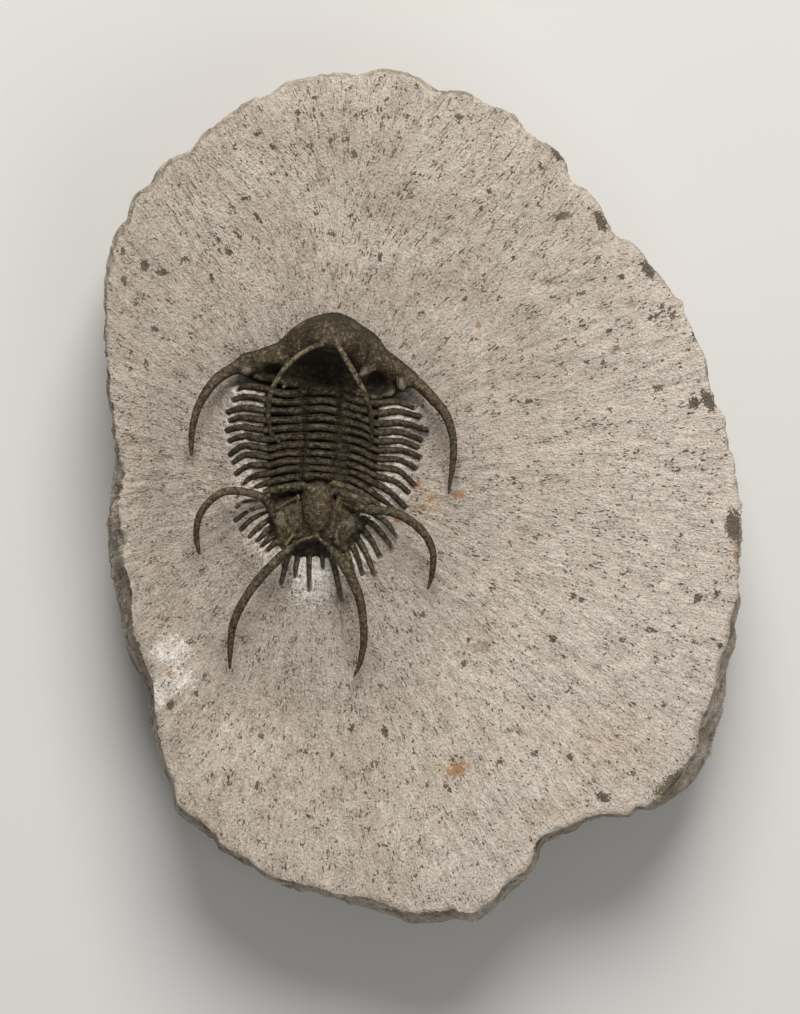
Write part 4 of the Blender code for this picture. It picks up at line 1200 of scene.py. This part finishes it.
class Nodes:
    """A material's nodes, written as formulas."""

    def __init__(self, name):
        self.material = bpy.data.materials.new(name)
        self.material.use_nodes = True
        self.tree = self.material.node_tree
        self.shader = self.tree.nodes["Principled BSDF"]
        place = self.add("ShaderNodeTexCoord").outputs["Object"]
        self.place = self.vector("SCALE", place, scale=1.0 / MM)

    def add(self, kind, **settings):
        node = self.tree.nodes.new(kind)
        for key, value in settings.items():
            setattr(node, key, value)
        return node

    def feed(self, socket, value):
        if isinstance(value, bpy.types.NodeSocket):
            self.tree.links.new(value, socket)
        elif isinstance(value, tuple) and len(value) == 3 and len(socket.default_value) == 4:
            socket.default_value = (*value, 1.0)
        else:
            socket.default_value = value

    def math(self, operation, first, second=0.0, third=0.0, clamp=False):
        node = self.add("ShaderNodeMath", operation=operation, use_clamp=clamp)
        for socket, value in zip(node.inputs, (first, second, third)):
            self.feed(socket, value)
        return node.outputs[0]

    def vector(self, operation, first, second=None, scale=None):
        node = self.add("ShaderNodeVectorMath", operation=operation)
        self.feed(node.inputs[0], first)
        if second is not None:
            self.feed(node.inputs[1], second)
        if scale is not None:
            self.feed(node.inputs["Scale"], scale)
        return node.outputs[0]

    def parts(self, vector):
        node = self.add("ShaderNodeSeparateXYZ")
        self.feed(node.inputs[0], vector)
        return node.outputs

    def joined(self, x, y, z):
        node = self.add("ShaderNodeCombineXYZ")
        for socket, value in zip(node.inputs, (x, y, z)):
            self.feed(socket, value)
        return node.outputs[0]

    def times(self, first, second):
        return self.math("MULTIPLY", first, second)

    def plus(self, start, *terms):
        """A start with values added, each times its own factor."""
        for value, factor in terms:
            start = self.math("MULTIPLY_ADD", value, factor, start)
        return start

    def centred(self, value):
        """A noise about nought."""
        return self.math("SUBTRACT", value, 0.5)

    def noise(self, scale, detail=2.0, roughness=0.5, vector=None, output="Fac"):
        node = self.add("ShaderNodeTexNoise")
        settings = {"Vector": vector or self.place, "Scale": scale, "Detail": detail, "Roughness": roughness}
        for key, value in settings.items():
            self.feed(node.inputs[key], value)
        return node.outputs[output]

    def cells(self, scale, vector=None):
        node = self.add("ShaderNodeTexVoronoi")
        self.feed(node.inputs["Vector"], vector or self.place)
        self.feed(node.inputs["Scale"], scale)
        return node

    def value(self, name):
        return self.add("ShaderNodeAttribute", attribute_name=name).outputs["Fac"]

    def ramp(self, value, low, high, start=0.0, end=1.0):
        """A smooth step of a value from low to high, given as start to end."""
        node = self.add("ShaderNodeMapRange", interpolation_type="SMOOTHSTEP")
        for socket, number in zip(node.inputs, (value, low, high, start, end)):
            self.feed(socket, number)
        return node.outputs[0]

    def mix(self, share, first, second, blend="MIX"):
        node = self.add("ShaderNodeMix", data_type="RGBA", blend_type=blend)
        node.clamp_factor = True
        self.feed(node.inputs[0], share)
        self.feed(node.inputs[6], first)
        self.feed(node.inputs[7], second)
        return node.outputs[2]

    def coated(self, colour, *coats):
        """A colour with others over it, each with its share."""
        for share, coat in coats:
            colour = self.mix(share, colour, coat)
        return colour

    def relief(self, *layers):
        """Gives the shader bumps from values that each stand out by a depth in millimetres."""
        node = self.add("ShaderNodeBump")
        self.feed(node.inputs["Height"], self.plus(0.0, *layers))
        self.feed(node.inputs["Distance"], MM)
        self.feed(self.shader.inputs["Normal"], node.outputs[0])

    def finish(self, colour, roughness, specular):
        self.feed(self.shader.inputs["Base Color"], colour)
        self.feed(self.shader.inputs["Roughness"], roughness)
        self.feed(self.shader.inputs["Specular IOR Level"], specular)
        return self.material


def flow_frames(nodes):
    """Two frames that follow the tool marks' direction, and how much each one counts.

    The marks run out from the fossil, and those over its head run to a point in front of it.
    """
    x, y, z = nodes.parts(nodes.place)
    aside = nodes.math("ABSOLUTE", nodes.math("SUBTRACT", x, FRONT_CENTRE[0]))
    front = nodes.times(nodes.ramp(y, 20.0, 52.0), nodes.ramp(aside, 30.0, 12.0))
    run, rise = (nodes.math("SUBTRACT", place, nodes.plus(start, (front, end - start)))
                 for place, start, end in zip((x, y), FLOW_CENTRE, FRONT_CENTRE))
    turn = nodes.times(nodes.math("ARCTAN2", rise, run), FLOW_SECTORS / (2 * math.pi))
    frames = []
    for half in (0.0, 0.5):
        sector = nodes.math("ADD", nodes.math("ROUND", nodes.math("SUBTRACT", turn, half)), half)
        offset = nodes.math("ABSOLUTE", nodes.math("SUBTRACT", turn, sector))
        weight = nodes.math("SUBTRACT", 1.0, nodes.times(offset, 2.0), clamp=True)
        angle = nodes.times(sector, 2 * math.pi / FLOW_SECTORS)
        cosine, sine = nodes.math("COSINE", angle), nodes.math("SINE", angle)
        along = nodes.plus(nodes.times(y, sine), (x, cosine))
        across = nodes.math("SUBTRACT", nodes.times(y, cosine), nodes.times(x, sine))
        lift = nodes.plus(z, (sine, 53.0), (cosine, 37.0))
        frames.append((along, across, lift, weight))
    return frames


def streaks(nodes, frames, width, length, detail=1.0):
    """Noise drawn out along the tool marks, about nought."""
    total = power = 0.0
    for *place, weight in frames:
        sizes = (length, width, width * 2)
        place = nodes.joined(*(nodes.math("DIVIDE", *pair) for pair in zip(place, sizes)))
        level = nodes.centred(nodes.noise(1.0, detail, vector=place))
        total = nodes.plus(total, (level, weight))
        power = nodes.plus(power, (weight, weight))
    return nodes.math("DIVIDE", total, nodes.math("SQRT", power))


def specks(nodes, cell, radius, keep, wander=0.35):
    """Irregular spots, in some of the cells of a grid: above nought inside them, and their hue."""
    wave = nodes.noise(1.0 / (radius * 1.6), 0.6, output="Color")
    shift = nodes.vector("SUBTRACT", wave, (0.5, 0.5, 0.5))
    place = nodes.vector("ADD", nodes.place, nodes.vector("SCALE", shift, scale=radius * wander * 4))
    grid = nodes.cells(1.0 / cell, place)
    chance, hue, _ = nodes.parts(grid.outputs["Color"])
    size = nodes.times(nodes.math("SUBTRACT", chance, 1.0 - keep), radius / cell / keep)
    return nodes.math("SUBTRACT", size, grid.outputs["Distance"]), hue


def stained(nodes, colour, edges, stains):
    """A colour with stains over it, whose edges are made ragged by a noise."""
    for name, low, high, share, stain in stains:
        level = nodes.math("ADD", nodes.value(name), edges)
        colour = nodes.mix(nodes.ramp(level, low, high, 0.0, share), colour, stain)
    return colour


def face_colour(nodes, x, y):
    """The worked face: duller in the bed and at the far left, lighter to the right."""
    colour = nodes.mix(nodes.ramp(nodes.noise(0.09), 0.35, 0.65), FACE_DULL, FACE_LIGHT)
    return nodes.coated(
        colour,
        (nodes.times(nodes.value("bed"), 0.70), BED_GREY),
        (nodes.ramp(x, -28.0, -44.0, 0.0, 0.5), LEFT_SHADE),
        (nodes.ramp(nodes.plus(x, (y, -0.35)), -5.0, 36.0, 0.0, 0.9), RIGHT_LIGHT),
        (nodes.ramp(nodes.value("apron"), 0.5, 1.6, 0.0, 0.8), APRON_PALE))


def flank_colour(nodes):
    """The broken flank: duller, with a brown and a green-grey crust in places."""
    colour = nodes.mix(nodes.ramp(nodes.noise(0.20, 3.0, 0.6), 0.42, 0.60), FLANK_PALE, FLANK_BROWN)
    return nodes.coated(
        colour,
        (nodes.ramp(nodes.noise(0.33), 0.60, 0.68, 0.0, 0.8), CRUST_GREEN),
        (nodes.ramp(nodes.noise(0.45), 0.58, 0.66, 0.0, 0.7), CRUST_BROWN))


def limestone():
    """Pale worked limestone with radiating tool marks, pits, dark specks and stains."""
    nodes = Nodes("limestone_worked")
    x, y, _ = nodes.parts(nodes.place)
    flank = nodes.value("flank")
    frames = flow_frames(nodes)
    fine = streaks(nodes, frames, 0.21, 0.46, 2.0)
    dash = streaks(nodes, frames, 0.30, 0.85, 2.0)
    broad = streaks(nodes, frames, 0.9, 3.4)
    scratch = streaks(nodes, frames, 0.30, 2.4)
    patch = nodes.centred(nodes.noise(0.55))
    grit = nodes.noise(3.0, 2.5, 0.7)
    grain = nodes.centred(grit)

    # Broad stains, and over them how light the stone is from place to place, with painted shade in its
    # hollows and a painted highlight on its edges
    colour = nodes.mix(nodes.times(flank, 0.85), face_colour(nodes, x, y), flank_colour(nodes))
    edges = nodes.times(nodes.centred(nodes.noise(1.9, 3.0, 0.7)), 2.0)
    colour = stained(nodes, colour, edges, BROAD_STAINS)
    tooled = nodes.times(fine, nodes.ramp(x, -20.0, 30.0, 1.0, 0.7))
    light = nodes.plus(0.985, (y, 0.0010), (tooled, 1.0), (broad, 0.45), (grain, 1.4), (patch, 0.36),
                       (nodes.value("hollow"), 1.0))
    warm = [nodes.plus(-more, (light, 1.0 + more)) for more in (0.0, 0.07, 0.15)]
    colour = nodes.mix(1.0, colour, nodes.joined(*warm), "MULTIPLY")

    # Tool pits and scratches along the marks, pale bruises, and dark grains
    pits = nodes.ramp(nodes.plus(dash, (patch, 0.55), (grain, 0.35)), -0.165, -0.215)
    pits = nodes.times(pits, nodes.ramp(flank, 0.2, 0.6, 1.0, 0.3))
    scratches = nodes.ramp(nodes.plus(scratch, (grain, 0.25)), -0.13, -0.20)
    where = nodes.times(nodes.ramp(y, 24.0, 38.0, 0.25, 0.8), nodes.ramp(flank, 0.1, 0.5, 1.0, 0.0))
    bruises = nodes.ramp(nodes.plus(fine, (grain, 0.5)), 0.17, 0.26, 0.0, 0.6)
    colour = nodes.coated(colour, (pits, PIT_BROWN), (nodes.times(scratches, where), SCRATCH_BROWN),
                          (bruises, BRUISE_PALE))
    for cell, radius, keep in GRAINS:
        level, hue = specks(nodes, cell, radius, keep)
        dark = nodes.mix(nodes.ramp(hue, 0.6, 0.7), GRAIN_BROWN, GRAIN_GREEN)
        colour = nodes.mix(nodes.ramp(level, 0.0, 0.05, 0.0, 0.9), colour, dark)

    # Spots that have their own places
    edges = nodes.plus(edges, (nodes.centred(nodes.noise(3.6)), 1.2))
    colour = stained(nodes, colour, edges, PLACED_STAINS)
    nodes.relief((broad, 0.34), (fine, 0.22), (pits, -0.10), (grit, 0.24))
    return nodes.finish(colour, nodes.ramp(grit, 0.2, 0.8, 0.82, 0.98), 0.3)


def fossil_shell():
    """Dark, satin calcite shell, mottled, browner on its spines, paler on its ridges with a painted
    highlight over the wear, and with painted shade in its grooves and hollows.
    """
    nodes = Nodes("fossil_calcite_shell")
    ridge, outer, painted_shade = nodes.value("ridge"), nodes.value("outer"), nodes.value("painted_shade")
    mottle = nodes.noise(1.7, 3.0, 0.65)
    mottled = nodes.centred(mottle)
    grain = nodes.noise(4.2, 3.0, 0.7)
    knobs = nodes.cells(2.4).outputs["Distance"]

    # The shell's own colour, paler on its ridges, where a painted highlight lies over the wear
    colour = nodes.mix(nodes.ramp(nodes.noise(0.35, 3.0), 0.35, 0.65), SHELL_DARK, SHELL_OLIVE)
    worn = nodes.ramp(nodes.plus(ridge, (mottled, 0.22)), 0.0, RIDGE_FULL)
    worn = nodes.times(worn, nodes.ramp(outer, 0.0, 1.0, 0.72, 0.48))
    colour = nodes.coated(
        colour,
        (nodes.ramp(nodes.noise(0.6), 0.48, 0.66, 0.0, 0.55), SHELL_BROWN),
        (nodes.times(outer, 0.6), SPINE_BROWN),
        (worn, RIDGE_HIGHLIGHT_AND_WEAR))

    # How light it is from place to place
    light = nodes.plus(1.0, (mottled, 3.0), (nodes.centred(grain), 3.2))
    light = nodes.math("ADD", light, nodes.ramp(knobs, 0.30, 0.12, 0.0, 0.35))
    light = nodes.math("MAXIMUM", light, 0.22)
    colour = nodes.mix(1.0, colour, nodes.joined(light, light, light), "MULTIPLY")

    # Flecks, pale patches that are mostly painted highlights, and painted shade in the grooves and hollows
    pale = nodes.plus(nodes.value("pale"), (mottled, 1.6))
    colour = nodes.coated(
        colour,
        (nodes.ramp(nodes.noise(3.3, 1.0), 0.66, 0.76, 0.0, 0.5), FLECK_PALE),
        (nodes.ramp(pale, 0.0, 0.8, 0.0, 0.62), PATCH_PALE_AND_HIGHLIGHT),
        (nodes.ramp(ridge, -0.01, -RIDGE_FULL, 0.0, 0.50), GROOVE_SHADE_DARK),
        (nodes.times(painted_shade, nodes.ramp(mottle, 0.35, 0.65, 0.95, 0.70)), HOLLOW_SHADE_BLACK))
    nodes.relief((knobs, -0.10), (mottle, 0.22), (grain, 0.12))
    rough = nodes.plus(nodes.ramp(grain, 0.25, 0.75, 0.42, 0.70), (painted_shade, 0.4))
    return nodes.finish(colour, rough, 0.3)


def pale_floor():
    nodes = Nodes("studio_floor")
    return nodes.finish(nodes.mix(nodes.noise(0.01), (0.70, 0.69, 0.67), (0.74, 0.73, 0.71)), 0.9, 0.5)


# The studio

FLOOR_HALF = 2000.0


def make_floor():
    corners = [(x * FLOOR_HALF, y * FLOOR_HALF, 0.0) for x, y in ((-1, -1), (1, -1), (1, 1), (-1, 1))]
    mesh = new_mesh("studio_floor", np.array(corners), np.array([(0, 1, 2, 3)]))
    floor = bpy.data.objects.new("studio_floor", mesh)
    mesh.materials.append(pale_floor())
    bpy.context.scene.collection.objects.link(floor)


def add_light(name, place, size, power, colour):
    data = bpy.data.lights.new(name, "AREA")
    data.shape = "DISK"
    data.size = size
    data.energy = power
    data.color = colour
    lamp = bpy.data.objects.new(name, data)
    lamp.location = place
    lamp.rotation_euler = (-Vector(place)).to_track_quat("-Z", "Y").to_euler()
    bpy.context.scene.collection.objects.link(lamp)


def make_lights():
    add_light("key", (0.05, 0.69, 0.72), 0.60, 10.0, (1.0, 0.98, 0.95))
    add_light("fill", (0.5, -0.5, 0.9), 0.8, 2.2, (1.0, 1.0, 1.0))
    world = bpy.data.worlds.new("studio")
    world.use_nodes = True
    background = world.node_tree.nodes["Background"]
    background.inputs["Color"].default_value = (1.0, 1.0, 1.0, 1.0)
    background.inputs["Strength"].default_value = 0.20
    bpy.context.scene.world = world


def make_camera():
    data = bpy.data.cameras.new("camera")
    data.sensor_width = SENSOR
    data.lens = SENSOR * CAMERA_DISTANCE / (PHOTO_HEIGHT * PIXEL)
    data.clip_start = 0.01
    data.clip_end = 10.0
    camera = bpy.data.objects.new("camera", data)
    camera.location = [value * MM for value in (*PHOTO_MIDDLE, SHARP_HEIGHT + CAMERA_DISTANCE)]
    bpy.context.scene.collection.objects.link(camera)
    bpy.context.scene.camera = camera


def make_fossil(shell):
    head = head_field()
    field_piece("cranidium", cut_at(head, LEFT_SUTURE, RIGHT_SUTURE), shell)
    field_piece("free_cheek_left", cut_at(head, -40.0, LEFT_SUTURE + SEAM_OVERLAP), shell, LEFT_SUTURE, 1)
    field_piece("free_cheek_right", cut_at(head, RIGHT_SUTURE - SEAM_OVERLAP, 10.0), shell, RIGHT_SUTURE, -1)
    field_piece("pygidium", tail_field(), shell)
    for number in range(len(RING_CRESTS)):
        make_segment(number, shell)


make_slab(limestone())
make_fossil(fossil_shell())
make_floor()
make_lights()
make_camera()
bpy.context.scene.view_settings.view_transform = "Standard"
